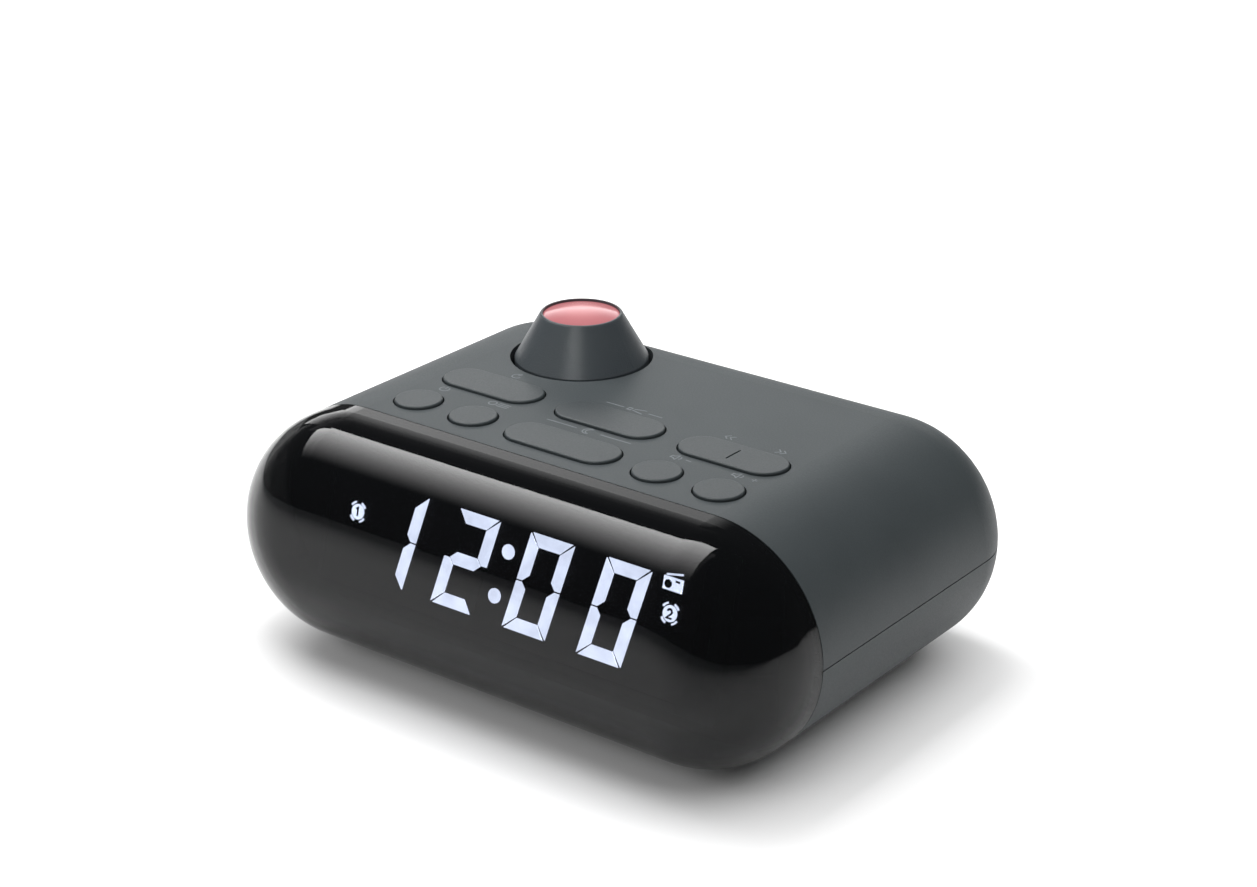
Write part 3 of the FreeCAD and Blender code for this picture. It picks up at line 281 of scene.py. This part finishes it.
@dataclass(frozen=True)
class OpticalAcrylic(Finish):
    """Moulded lens acrylic in a dark rose tint, with the red light from inside painted onto it as a glow:
    rosy at the rim and paler towards the middle.
    """

    tint: str = "#6A3F42"
    # Painted glow: the lighter heart colour, the glow and the pale centre colour the lens as if lit by the
    # red LED below; only the tint is the lens's own.
    painted_glow_heart: str = "#7A4C4E"
    glow: str = "#E88C92"
    pale: str = "#F7B4B6"
    power: float = 0.5
    radius_mm: float = 10.3
    centre: tuple[float, float] = (0.0, 0.0)
    rim_share: float = 0.8

    def surface(self, tree: bpy.types.NodeTree) -> bpy.types.NodeSocket:
        """Glossy shader whose painted glow and painted lighter base colour fade from the axis to the rim."""
        where = add_node(tree, "TexCoord").outputs["Object"]
        axis = (self.centre[0], self.centre[1], 0.0)
        across = add_node(tree, "VectorMath", {1: axis}, {0: where}, operation="SUBTRACT").outputs[0]
        flat = add_node(tree, "VectorMath", {1: (1.0, 1.0, 0.0)}, {0: across},
                        operation="MULTIPLY").outputs[0]
        reach = add_node(tree, "VectorMath", None, {0: flat}, operation="LENGTH").outputs["Value"]
        rings = {"From Min": 0.0, "From Max": self.radius_mm * MM, "To Min": 1.0, "To Max": 0.0}
        inward = add_node(tree, "MapRange", rings, {"Value": reach}).outputs[0]
        # Painted glow: emission, and a base colour that is lighter towards the axis, stand for the LED light
        # passing through the lens.
        shader = add_node(
            tree, "BsdfPrincipled",
            {"IOR": 1.49, "Specular IOR Level": 0.25},
            {"Base Color": two_tone(tree, inward, self.tint, self.painted_glow_heart),
             "Roughness": spread(tree, inward, 0.12, 0.18),
             "Emission Color": two_tone(tree, inward, self.glow, self.pale),
             "Emission Strength": spread(tree, inward, self.power * self.rim_share, self.power)})
        return shader.outputs[0]


@dataclass(frozen=True)
class PlatedMetal(Finish):
    """Plated or bare metal part, drawn or rolled: a soft directional shine."""

    base: str = "#B9BABC"
    shade: str = "#A2A3A6"
    roughness: float = 0.32
    line_mm: float = 0.4
    line_depth_mm: float = 0.004
    drawn_out: float = 0.08
    swing: float = 0.07

    def surface(self, tree: bpy.types.NodeTree) -> bpy.types.NodeSocket:
        """Metal with rolling marks in its colour, roughness and relief."""
        where = add_node(tree, "TexCoord").outputs["Object"]
        drawn = add_node(tree, "Mapping", {"Scale": (1.0, 1.0, self.drawn_out)}, {"Vector": where}).outputs[0]
        lines = add_node(tree, "TexNoise", {"Scale": per_metre(self.line_mm), "Detail": 3.0},
                         {"Vector": drawn}).outputs[0]
        shader = add_node(
            tree, "BsdfPrincipled", {"Metallic": 1.0},
            {"Base Color": two_tone(tree, lines, self.base, self.shade),
             "Roughness": spread(tree, lines, self.roughness - self.swing, self.roughness + self.swing),
             "Normal": relief(tree, lines, self.line_depth_mm)})
        return shader.outputs[0]


@dataclass(frozen=True)
class SolderMask(Finish):
    """Glass-fibre board under green solder mask, with copper tracks that show as lighter lines."""

    base: str = "#0E3B22"
    track: str = "#1C5A34"
    pitch_mm: float = 2.54
    jitter: float = 0.35
    edge: tuple[float, float] = (0.42, 0.5)
    track_depth_mm: float = 0.035

    def surface(self, tree: bpy.types.NodeTree) -> bpy.types.NodeSocket:
        """Green gloss with square-grid tracks raised under the mask."""
        where = add_node(tree, "TexCoord").outputs["Object"]
        cells = add_node(tree, "TexVoronoi", {"Scale": per_metre(self.pitch_mm), "Randomness": self.jitter},
                         {"Vector": where}, distance="MANHATTAN").outputs["Distance"]
        values = {"From Min": self.edge[0], "From Max": self.edge[1], "To Min": 0.0, "To Max": 1.0}
        track = add_node(tree, "MapRange", values, {"Value": cells}).outputs[0]
        shader = add_node(
            tree, "BsdfPrincipled", {"Roughness": 0.28, "IOR": 1.52},
            {"Base Color": two_tone(tree, track, self.base, self.track),
             "Normal": relief(tree, track, self.track_depth_mm)})
        return shader.outputs[0]


@dataclass(frozen=True)
class FlatCable(Finish):
    """Extruded ribbon cable: grey insulation in parallel ridges, one for each wire."""

    base: str = "#8E9092"
    groove: str = "#6C6E70"
    wire_mm: float = 1.27
    ridge_mm: float = 0.2

    def surface(self, tree: bpy.types.NodeTree) -> bpy.types.NodeSocket:
        """Ridges along the cable with darker grooves between the wires."""
        where = add_node(tree, "TexCoord").outputs["Object"]
        # One turn of the wave texture spans 20 units of its scale divided by pi.
        wave = add_node(tree, "TexWave", {"Scale": per_metre(self.wire_mm) * math.pi / 20}, {"Vector": where},
                        bands_direction="X").outputs["Fac"]
        shader = add_node(
            tree, "BsdfPrincipled", {"Roughness": 0.45},
            {"Base Color": two_tone(tree, wave, self.groove, self.base),
             "Normal": relief(tree, wave, self.ridge_mm)})
        return shader.outputs[0]


@dataclass(frozen=True)
class ScreenInk(Finish):
    """Pad-printed pale ink: thin, matt and slightly uneven."""

    base: str = "#666B6E"
    speck: str = "#5F6467"
    speck_mm: float = 0.15

    def surface(self, tree: bpy.types.NodeTree) -> bpy.types.NodeSocket:
        """Matt ink with fine speckle."""
        speckle = noise(tree, self.speck_mm, 2.0)
        shader = add_node(
            tree, "BsdfPrincipled", {"Roughness": 0.7},
            {"Base Color": two_tone(tree, speckle, self.base, self.speck)})
        return shader.outputs[0]


@dataclass(frozen=True)
class StudioPaper(Finish):
    """Matt paper sweep that is white under the object, with painted shade that runs off into grey towards the
    front.
    """

    base: str = "#F4F4F4"
    # Painted shade: the grey that the floor runs off into towards the front.
    grey: str = "#76787A"
    painted_shade_near_m: float = 0.0
    painted_shade_far_m: float = -0.38
    fibre_mm: float = 1.5

    def surface(self, tree: bpy.types.NodeTree) -> bpy.types.NodeSocket:
        """White with painted shade that runs off into grey, a faint fibre in its roughness; clear from below.
        """
        where = add_node(tree, "TexCoord").outputs["Object"]
        depth = add_node(tree, "SeparateXYZ", None, {0: where}).outputs[1]
        # Painted shade: the floor greys towards the front, so the cover reflects a darker floor.
        values = {"From Min": self.painted_shade_near_m, "From Max": self.painted_shade_far_m, "To Min": 0.0, "To Max": 1.0}
        away = add_node(tree, "MapRange", values, {"Value": depth},
                        interpolation_type="SMOOTHSTEP").outputs[0]
        shader = add_node(
            tree, "BsdfPrincipled", {"IOR": 1.5, "Specular IOR Level": 0.2},
            {"Base Color": two_tone(tree, away, self.base, self.grey),
             "Roughness": spread(tree, noise(tree, self.fibre_mm), 0.85, 0.95)})
        below = add_node(tree, "NewGeometry").outputs["Backfacing"]
        clear = add_node(tree, "BsdfTransparent")
        return add_node(tree, "MixShader", None,
                        {0: below, 1: shader.outputs[0], 2: clear.outputs[0]}).outputs[0]


# ------------------------------------------------------------------ printed and lit signs

def arc(centre: Point, radius: float, start: float, end: float, steps: int = 20) -> list[Point]:
    """Points along a circular arc.

    Args:
        centre: Middle of the arc, in millimetres.
        radius: Radius in millimetres.
        start: First angle in degrees, anticlockwise from the right.
        end: Last angle in degrees.
        steps: Number of chords.

    Returns:
        The points from start to end.
    """
    angles = [math.radians(start + (end - start) * i / steps) for i in range(steps + 1)]
    return [(centre[0] + radius * math.cos(a), centre[1] + radius * math.sin(a)) for a in angles]


class Sign(Enum):
    """Word-free signs that stand beside the buttons and on the display."""

    POWER = "power"
    MEMORY = "memory"
    SNOOZE = "snooze"
    QUIETER = "quieter"
    LOUDER = "louder"
    TURN = "turn"
    BEAM = "beam"
    BACK = "back"
    AHEAD = "ahead"
    ALARM = "alarm"
    ONE = "one"
    TWO = "two"
    RADIO = "radio"
    GRILLE = "grille"


def speaker_mark(left: float) -> list[list[Point]]:
    """Outline of a small loudspeaker whose left edge is at the given place."""
    box = [(left, -0.45), (left + 0.7, -0.45), (left + 1.6, -1.2),
           (left + 1.6, 1.2), (left + 0.7, 0.45), (left, 0.45)]
    return [box + box[:1], arc((left + 1.7, 0.0), 0.9, -50, 50, 8)]


def alarm_mark() -> list[list[Point]]:
    """Alarm clock 5.4 mm tall: a filled dial made of close rings, between two bells and two feet."""
    core, step, rings, outer, half_angle = 0.2, 0.4, 5, 2.6, 19
    dial = [arc((0, 0), core + step * ring, 0, 360, 24) for ring in range(rings)]
    corners = [arc((0, 0), outer, angle - half_angle, angle + half_angle, 6) for angle in (50, 130, 230, 310)]
    return dial + corners


def sign_strokes(sign: Sign) -> list[list[Point]]:
    """Give a sign's strokes.

    Args:
        sign: Which sign.

    Returns:
        Lines of points in millimetres, about the sign's middle.
    """
    plus = [[(2.1, 0.0), (3.5, 0.0)], [(2.8, -0.7), (2.8, 0.7)]]
    shapes: dict[Sign, list[list[Point]]] = {
        Sign.POWER: [arc((0, -0.1), 1.2, 125, 415), [(0, 0.1), (0, 1.4)]],
        Sign.MEMORY: [arc((-1.9, 0), 1.0, 0, 360), [(-0.3, 0.8), (2.9, 0.8)], [(-0.3, 0), (2.9, 0)],
                      [(-0.3, -0.8), (2.9, -0.8)]],
        Sign.SNOOZE: [arc((0, 0), 1.4, 60, 300), arc((0.55, 0), 1.15, 87, 273), [(-12.0, 0), (-3.4, 0)],
                      [(3.4, 0), (12.0, 0)]],
        Sign.QUIETER: speaker_mark(-2.9) + [[(1.0, 0.0), (2.4, 0.0)]],
        Sign.LOUDER: speaker_mark(-2.9) + plus,
        Sign.TURN: [arc((0, 0), 1.2, 60, 350), [(0.1, 1.7), (0.62, 1.05), (-0.1, 0.6)]],
        Sign.BEAM: [[(-1.2, -0.6), (-1.2, 0.6), (-0.3, 0.6), (-0.3, -0.6), (-1.2, -0.6)],
                    [(0.3, 0.35), (3.4, 1.1)], [(0.3, -0.35), (3.4, -1.1)],
                    [(-7.5, 0), (-2.4, 0)], [(4.6, 0), (8.5, 0)]],
        Sign.BACK: [[(0.0, 1.0), (-1.0, 0.0), (0.0, -1.0)], [(1.3, 1.0), (0.3, 0.0), (1.3, -1.0)]],
        Sign.AHEAD: [[(0.0, 1.0), (1.0, 0.0), (0.0, -1.0)], [(-1.3, 1.0), (-0.3, 0.0), (-1.3, -1.0)]],
        Sign.ALARM: alarm_mark(),
        Sign.ONE: [[(-0.5, 0.7), (0.1, 1.1), (0.1, -1.1)]],
        Sign.TWO: [arc((0, 0.45), 0.65, 170, -40, 8) + [(-0.7, -1.1), (0.8, -1.1)]],
        Sign.RADIO: [[(-2.8, -1.7 + 0.4 * row), (2.8, -1.7 + 0.4 * row)] for row in range(8)] + [
            [(-2.2, 1.7), (2.4, 2.6)]],
        Sign.GRILLE: [arc((-1.3, -0.4), 0.2 + 0.3 * ring, 0, 360, 16) for ring in range(3)] + [
            [(0.7, 0.6), (2.0, 0.6)]],
    }
    return shapes[sign]


def ribbon(mesh: bmesh.types.BMesh, points: Sequence[Point], width: float, height: float) -> None:
    """Add one stroke as a thin closed strip with square corners.

    Args:
        mesh: Mesh that takes the strip.
        points: Line of the stroke, in millimetres.
        width: Stroke width in millimetres.
        height: Thickness in millimetres, upwards from zero.
    """
    line = [Vector((x, y, 0.0)) for x, y in points]
    closed = (line[0] - line[-1]).length < TINY_MM
    if closed:
        line = line[:-1]
    count = len(line)
    rows = []
    for index, spot in enumerate(line):
        before = line[index - 1] if index or closed else None
        after = line[(index + 1) % count] if index < count - 1 or closed else None
        ahead = (after - spot).normalized() if after else (spot - before).normalized()
        behind = (spot - before).normalized() if before else ahead
        along = (ahead + behind).normalized() if (ahead + behind).length > TINY_MM else ahead
        side = Vector((-along.y, along.x, 0.0))
        mitre = width / 2 / max(MITRE_LIMIT, along.dot(ahead))
        rows.append([mesh.verts.new((spot + side * sign * mitre + Vector((0, 0, level))) * MM)
                     for level in (0.0, height) for sign in (-1, 1)])
    pairs = list(zip(rows, rows[1:] + rows[:1])) if closed else list(zip(rows, rows[1:]))
    for first, second in pairs:
        for a, b in ((0, 1), (1, 3), (3, 2), (2, 0)):
            mesh.faces.new((first[a], first[b], second[b], second[a]))
    if not closed:
        for row in (rows[0], rows[-1]):
            mesh.faces.new((row[0], row[1], row[3], row[2]))


def sign_object(name: str, sign: Sign, place: Matrix, finish: Finish, width: float,
                height: float, scale: float = 1.0) -> bpy.types.Object:
    """Make one sign as a thin raised print.

    Args:
        name: Name of the piece.
        sign: Which sign.
        place: Where its middle goes and how it is turned, in metres.
        finish: Its ink or light.
        width: Stroke width in millimetres.
        height: Thickness in millimetres.
        scale: Enlargement of the sign's strokes.

    Returns:
        The new piece.
    """
    mesh = bmesh.new()
    for stroke in sign_strokes(sign):
        ribbon(mesh, [(x * scale, y * scale) for x, y in stroke], width, height)
    bmesh.ops.recalc_face_normals(mesh, faces=mesh.faces)
    bmesh.ops.transform(mesh, matrix=place, verts=mesh.verts)
    data = bpy.data.meshes.new(name)
    mesh.to_mesh(data)
    mesh.free()
    piece = bpy.data.objects.new(name, data)
    bpy.context.scene.collection.objects.link(piece)
    finish.dress(piece)
    return piece


# ------------------------------------------------------------------ sub-assemblies

def dress_nodes(finish: Finish, *names: str) -> None:
    """Give a finish to CAD nodes.

    Args:
        finish: The finish.
        *names: Names of the nodes.
    """
    for name in names:
        finish.dress(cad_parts[name])
        LOG.info("%s: %s", name, finish.label)


def middle(node: str) -> Vector:
    """Give the middle of a node's box."""
    low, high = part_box(node)
    return (Vector(low) + Vector(high)) / 2


@dataclass
class Casing:
    """Upper and lower casing with feet, cell door, grommet and every screw."""

    shell: Finish = MouldedPlastic("soft_touch_abs", "#363B3D", "#33383A", 0.5, 0.4, 0.02)
    door: Finish = MouldedPlastic("cell_door_abs", "#35393B", "#323638", 0.5, 0.5, 0.03)
    rubber: Finish = MouldedPlastic("feet_silicone_rubber", "#17181A", "#1E1F21", 0.75, 0.6, 0.03)
    screw: Finish = PlatedMetal("zinc_plated_steel")

    def build(self) -> None:
        """Dress the casing's nodes."""
        dress_nodes(self.shell, "top_shell", "bottom_shell")
        dress_nodes(self.door, "battery_door")
        dress_nodes(self.rubber, "rubber_feet", "antenna_grommet")
        dress_nodes(self.screw, "case_screws", "battery_door_screw", "button_board_screws",
                    "main_board_screws", "display_board_screws")


@dataclass
class FrontCover:
    """Smoked cover that wraps round the front of the casing."""

    acrylic: Finish = SmokedPmma("smoked_pmma")

    def build(self) -> None:
        """Dress the cover."""
        dress_nodes(self.acrylic, "front_cover")


@dataclass
class Keypad:
    """Push buttons, their plungers and switches, and the signs printed behind them."""

    cap: Finish = MouldedPlastic("button_abs", "#313638", "#2F3436", 0.4, 0.4, 0.014)
    post: Finish = MouldedPlastic("acetal_post", "#C9C8C0", "#BDBCB4", 0.4)
    switch: Finish = MouldedPlastic("switch_nylon", "#1B1C1E", "#222326", 0.45)
    ink: Finish = ScreenInk("pad_print_ink")
    front_row: Sequence[str] = ("power", "memory", "snooze", "volume_down", "volume_up")
    rear_row: Sequence[str] = ("rotate", "projection")
    sign_behind_front_mm: float = 10.4
    sign_behind_rear_mm: float = 9.6
    rocker_sign_spread_mm: float = 8.0
    ink_height_mm: float = 0.03
    ink_width_mm: float = 0.34
    ink_sunk: float = 0.25
    sign_scale: float = 1.12
    signs: dict[str, Sign] = field(default_factory=lambda: {
        "power": Sign.POWER, "memory": Sign.MEMORY, "snooze": Sign.SNOOZE, "volume_down": Sign.QUIETER,
        "volume_up": Sign.LOUDER, "rotate": Sign.TURN, "projection": Sign.BEAM})

    def build(self) -> None:
        """Dress the buttons and print the signs."""
        names = [*self.front_row, *self.rear_row]
        dress_nodes(self.cap, *(f"{name}_button" for name in names), "hour_minute_rocker")
        dress_nodes(self.post, *(f"{name}_plunger" for name in names))
        dress_nodes(self.switch, "tact_switches")
        for name in names:
            behind = self.sign_behind_front_mm if name in self.front_row else self.sign_behind_rear_mm
            self.print_sign(name, middle(f"{name}_button").x, middle(f"{name}_button").y + behind * MM,
                            self.signs[name])
        rocker = middle("hour_minute_rocker")
        for name, side, sign in (("hour", -1, Sign.BACK), ("minute", 1, Sign.AHEAD)):
            self.print_sign(name, rocker.x + side * self.rocker_sign_spread_mm * MM,
                            rocker.y + self.sign_behind_rear_mm * MM, sign)

    def print_sign(self, name: str, x: float, y: float, sign: Sign) -> None:
        """Print one sign on the flat top of the casing.

        Args:
            name: Name of the button that the sign belongs to.
            x: Middle of the sign, in metres.
            y: Middle of the sign, in metres.
            sign: Which sign.
        """
        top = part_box("top_shell")[1][2]
        place = Matrix.Translation((x, y, top - self.ink_sunk * self.ink_height_mm * MM))
        piece = sign_object(f"{name}_sign", sign, place, self.ink, self.ink_width_mm,
                            self.ink_height_mm, self.sign_scale)
        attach(piece, "casing") or piece
        LOG.info("%s printed", piece.name)


@dataclass
class Projector:
    """Focusing cone, lens, barrel, and the light source under them."""

    cone: Finish = MouldedPlastic("spark_eroded_abs", "#363B3E", "#31363A", 0.4, 0.45, 0.05, gloss=0.6)
    black: Finish = MouldedPlastic("carbon_filled_pbt", "#101113", "#16181A", 0.4)
    film: Finish = MouldedPlastic("numeral_film", "#5A0A10", "#3C0509", 0.2)
    board: Finish = SolderMask("projector_fr4")
    source: Finish = LitDiffuser("red_led_epoxy", "#FF5A5A", "#FF2A3A", 14.0)

    def build(self) -> None:
        """Dress the projector's nodes."""
        axis = middle("projector_lens")
        lens = OpticalAcrylic("lens_pmma", centre=(axis.x, axis.y))
        dress_nodes(self.cone, "focus_cone")
        dress_nodes(lens, "projector_lens", "condenser_lens")
        dress_nodes(self.black, "lens_carrier", "projector_tube")
        dress_nodes(self.film, "numeral_slide")
        dress_nodes(self.board, "projector_board")
        dress_nodes(self.source, "projector_led")


@dataclass
class Display:
    """Numeral module behind the cover, with its lit bars and the small signs at its sides."""

    lit: Finish = LitDiffuser("white_led_diffuser")
    dark: Finish = MouldedPlastic("unlit_diffuser", "#08080A", "#0B0B0D", 0.5)
    block: Finish = MouldedPlastic("display_reflector_pbt", "#020203", "#030304", 0.6)
    board: Finish = SolderMask("display_fr4")
    tilt_degrees: float = 15.7
    sign_height_mm: float = 0.3
    sign_width_mm: float = 0.45
    mask_width_mm: float = 0.5
    mask_lift: float = 0.4
    mask_height: float = 0.5
    signs: Sequence[tuple[str, Sign, float, float]] = (
        ("alarm_one_light", Sign.ALARM, -48.5, 3.3), ("radio_light", Sign.RADIO, 50.3, 11.5),
        ("alarm_two_light", Sign.ALARM, 50.8, 4.2))
    masks: Sequence[tuple[str, Sign, float, float]] = (
        ("alarm_one_numeral", Sign.ONE, -48.5, 3.3), ("radio_grille", Sign.GRILLE, 50.3, 11.5),
        ("alarm_two_numeral", Sign.TWO, 50.8, 4.2))

    def build(self) -> None:
        """Dress the display's nodes and light its signs."""
        dress_nodes(self.lit, "display_digits_lit")
        dress_nodes(self.dark, "display_digits_dark")
        dress_nodes(self.block, "display_module")
        dress_nodes(self.board, "display_board")
        centre = middle("display_digits_lit")
        plane = (Matrix.Translation((0.0, centre.y, centre.z))
                 @ Matrix.Rotation(math.radians(90 - self.tilt_degrees), 4, "X"))
        for name, sign, across, up in self.signs:
            place = plane @ Matrix.Translation((across * MM, up * MM, -self.sign_height_mm / 2 * MM))
            piece = sign_object(name, sign, place, self.lit, self.sign_width_mm, self.sign_height_mm)
            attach(piece, "casing") or piece
            LOG.info("%s lit", piece.name)
        for name, sign, across, up in self.masks:
            lift = self.mask_lift * self.sign_height_mm * MM
            place = plane @ Matrix.Translation((across * MM, up * MM, lift))
            piece = sign_object(name, sign, place, self.dark, self.mask_width_mm,
                                self.mask_height * self.sign_height_mm)
            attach(piece, "casing") or piece
            LOG.info("%s printed", piece.name)


@dataclass
class Electronics:
    """Boards, components, speaker, backup cell and rear socket."""

    board: Finish = SolderMask("main_fr4")
    epoxy: Finish = MouldedPlastic("moulded_epoxy", "#17181A", "#1D1E20", 0.55)
    can: Finish = PlatedMetal("nickel_plated_can", "#C4C4C2", "#AEAEAC", 0.25)
    foam: Finish = MouldedPlastic("closed_cell_foam", "#1A1A1B", "#232324", 0.95, 0.6, 0.1)
    paper: Finish = MouldedPlastic("pressed_paper_cone", "#1C1C1D", "#272728", 0.9, 0.8, 0.05)
    basket: Finish = PlatedMetal("pressed_steel_basket", "#9A9C9E", "#87898B", 0.4)
    ferrite: Finish = MouldedPlastic("sintered_ferrite", "#2B2C2E", "#37383A", 0.6, 0.5, 0.03)
    socket: Finish = MouldedPlastic("socket_pbt", "#141517", "#1A1B1D", 0.35)
    brass: Finish = PlatedMetal("turned_brass", "#C8A24E", "#B48E3E", 0.3)
    cable: Finish = FlatCable("pvc_ribbon_cable")

    def build(self) -> None:
        """Dress the electronic parts."""
        dress_nodes(self.board, "main_board", "button_board")
        dress_nodes(self.epoxy, "clock_chip", "radio_chip")
        dress_nodes(self.can, "tuning_crystal", "capacitors", "coin_cell", "battery_contact")
        dress_nodes(self.foam, "speaker_gasket")
        dress_nodes(self.paper, "speaker_cone")
        dress_nodes(self.basket, "speaker_frame")
        dress_nodes(self.ferrite, "speaker_magnet")
        dress_nodes(self.socket, "dc_jack")
        dress_nodes(self.brass, "dc_jack_nut")
        dress_nodes(self.cable, "display_ribbon", "button_ribbon")


# ------------------------------------------------------------------ studio

class Fade(Enum):
    """How a softbox's sheet is graded along its height."""

    EVEN = "even"
    BRIGHT_ABOVE = "bright_above"
    BRIGHT_BELOW = "bright_below"


@dataclass(frozen=True)
class Softbox:
    """A rectangular studio light that faces a point."""

    name: str
    spot: tuple[float, float, float]
    aim: tuple[float, float, float]
    size: tuple[float, float]
    power: float
    fade: Fade = Fade.EVEN
    mirrored: bool = True
    ease: float = 1.6

    def build(self) -> None:
        """Add the light."""
        data = bpy.data.lights.new(self.name, "AREA")
        data.shape = "RECTANGLE"
        data.size, data.size_y = self.size
        data.energy = self.power
        if self.fade is not Fade.EVEN:
            self.grade(data)
        light = bpy.data.objects.new(self.name, data)
        light.location = self.spot
        light.visible_glossy = self.mirrored
        light.rotation_euler = (Vector(self.aim) - Vector(self.spot)).to_track_quat("-Z", "Y").to_euler()
        bpy.context.scene.collection.objects.link(light)

    def grade(self, data: bpy.types.Light) -> None:
        """Let the light die away from one long edge to the other, as through a graded diffuser.

        Args:
            data: The light.
        """
        data.use_nodes = True
        tree = data.node_tree
        tree.nodes.clear()
        sheet = add_node(tree, "NewGeometry").outputs["Parametric"]
        depth = add_node(tree, "SeparateXYZ", None, {0: sheet}).outputs[1]
        above = self.fade is Fade.BRIGHT_ABOVE
        ends = {"To Min": 0.0, "To Max": 1.0} if above else {"To Min": 1.0, "To Max": 0.0}
        side = add_node(tree, "MapRange", ends, {"Value": depth}).outputs[0]
        eased = add_node(tree, "Math", {1: self.ease}, {0: side}, operation="POWER").outputs[0]
        glow = add_node(tree, "Emission", None, {"Strength": eased}).outputs[0]
        add_node(tree, "OutputLight", None, {0: glow})


@dataclass(frozen=True)
class Snoot:
    """A lamp in a long tube that throws a small round patch of light."""

    name: str
    spot: tuple[float, float, float]
    aim: tuple[float, float, float]
    patch: float
    mouth: float
    power: float
    blend: float = 0.9

    def build(self) -> None:
        """Add the lamp."""
        reach = Vector(self.aim) - Vector(self.spot)
        data = bpy.data.lights.new(self.name, "SPOT")
        data.spot_size = 2 * math.atan(self.patch / 2 / reach.length)
        data.spot_blend = self.blend
        data.shadow_soft_size = self.mouth / 2
        data.energy = self.power
        lamp = bpy.data.objects.new(self.name, data)
        lamp.location = self.spot
        lamp.rotation_euler = reach.to_track_quat("-Z", "Y").to_euler()
        bpy.context.scene.collection.objects.link(lamp)


@dataclass
class Studio:
    """Plain pale floor, soft lights and the camera."""

    azimuth: float = 37.297
    elevation: float = 22.92
    distance: float = 0.6769
    target: tuple[float, float, float] = (0.0041, 0.0, 0.0579)
    lens_mm: float = 75.9
    sensor_mm: float = 36.0
    floor_size: float = 6.0
    ambient: float = 0.08
    lights: Sequence[Softbox | Snoot] = (
        Softbox("overhead_softbox", (0.5, 0.2, 1.5), (0.0, 0.0, 0.0), (1.9, 1.8), 27.0, mirrored=False),
        Softbox("graded_softbox", (-0.72, -0.15, 1.05), (-0.72, -0.149, 0.0), (1.26, 0.94), 44.0,
                Fade.BRIGHT_ABOVE),
        Softbox("rear_softbox", (-1.1, 1.5, 0.95), (0.0, 0.0, 0.05), (2.2, 0.9), 24.0, Fade.BRIGHT_BELOW),
        Softbox("front_softbox", (-0.9, -1.3, 0.8), (0.0, 0.0, 0.0), (1.8, 1.2), 16.0, mirrored=False),
        Snoot("cone_snoot", (0.4, -1.12, 0.93), (-0.0344, 0.0296, 0.07), 0.06, 0.14, 150.0),
    )

    def build(self) -> None:
        """Make the floor, the surroundings, the lights and the camera."""
        self.make_floor()
        self.make_surroundings()
        for light in self.lights:
            light.build()
        self.make_camera()

    def make_floor(self) -> None:
        """Lay a wide pale floor under the feet."""
        half = self.floor_size / 2
        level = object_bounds()[0].z
        data = bpy.data.meshes.new("floor")
        corners = [(-half, -half, level), (half, -half, level), (half, half, level), (-half, half, level)]
        data.from_pydata(corners, [], [(0, 1, 2, 3)])
        floor = bpy.data.objects.new("floor", data)
        bpy.context.scene.collection.objects.link(floor)
        StudioPaper("studio_paper").dress(floor)
        floor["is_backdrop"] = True

    def make_surroundings(self) -> None:
        """Fill the surroundings with even pale light."""
        world = bpy.data.worlds.new("studio")
        world.use_nodes = True
        world.node_tree.nodes["Background"].inputs["Color"].default_value = linear("#FFFFFF")
        world.node_tree.nodes["Background"].inputs["Strength"].default_value = self.ambient
        bpy.context.scene.world = world
        bpy.context.scene.view_settings.view_transform = "Standard"

    def make_camera(self) -> None:
        """Stand the camera at the viewing angle."""
        data = bpy.data.cameras.new("camera")
        data.lens = self.lens_mm
        data.sensor_width = self.sensor_mm
        camera = bpy.data.objects.new("camera", data)
        around = math.radians(self.azimuth)
        above = math.radians(self.elevation)
        back = Vector((math.sin(around) * math.cos(above), -math.cos(around) * math.cos(above),
                       math.sin(above)))
        camera.location = Vector(self.target) + back * self.distance
        camera.rotation_euler = (-back).to_track_quat("-Z", "Y").to_euler()
        bpy.context.scene.collection.objects.link(camera)
        bpy.context.scene.camera = camera


def main() -> None:
    """Build and dress each sub-assembly in order."""
    logging.basicConfig(level=logging.INFO, format="%(message)s")
    for part in (Casing(), FrontCover(), Keypad(), Projector(), Display(), Electronics(), Studio()):
        part.build()


if __name__ == "__main__":
    main()
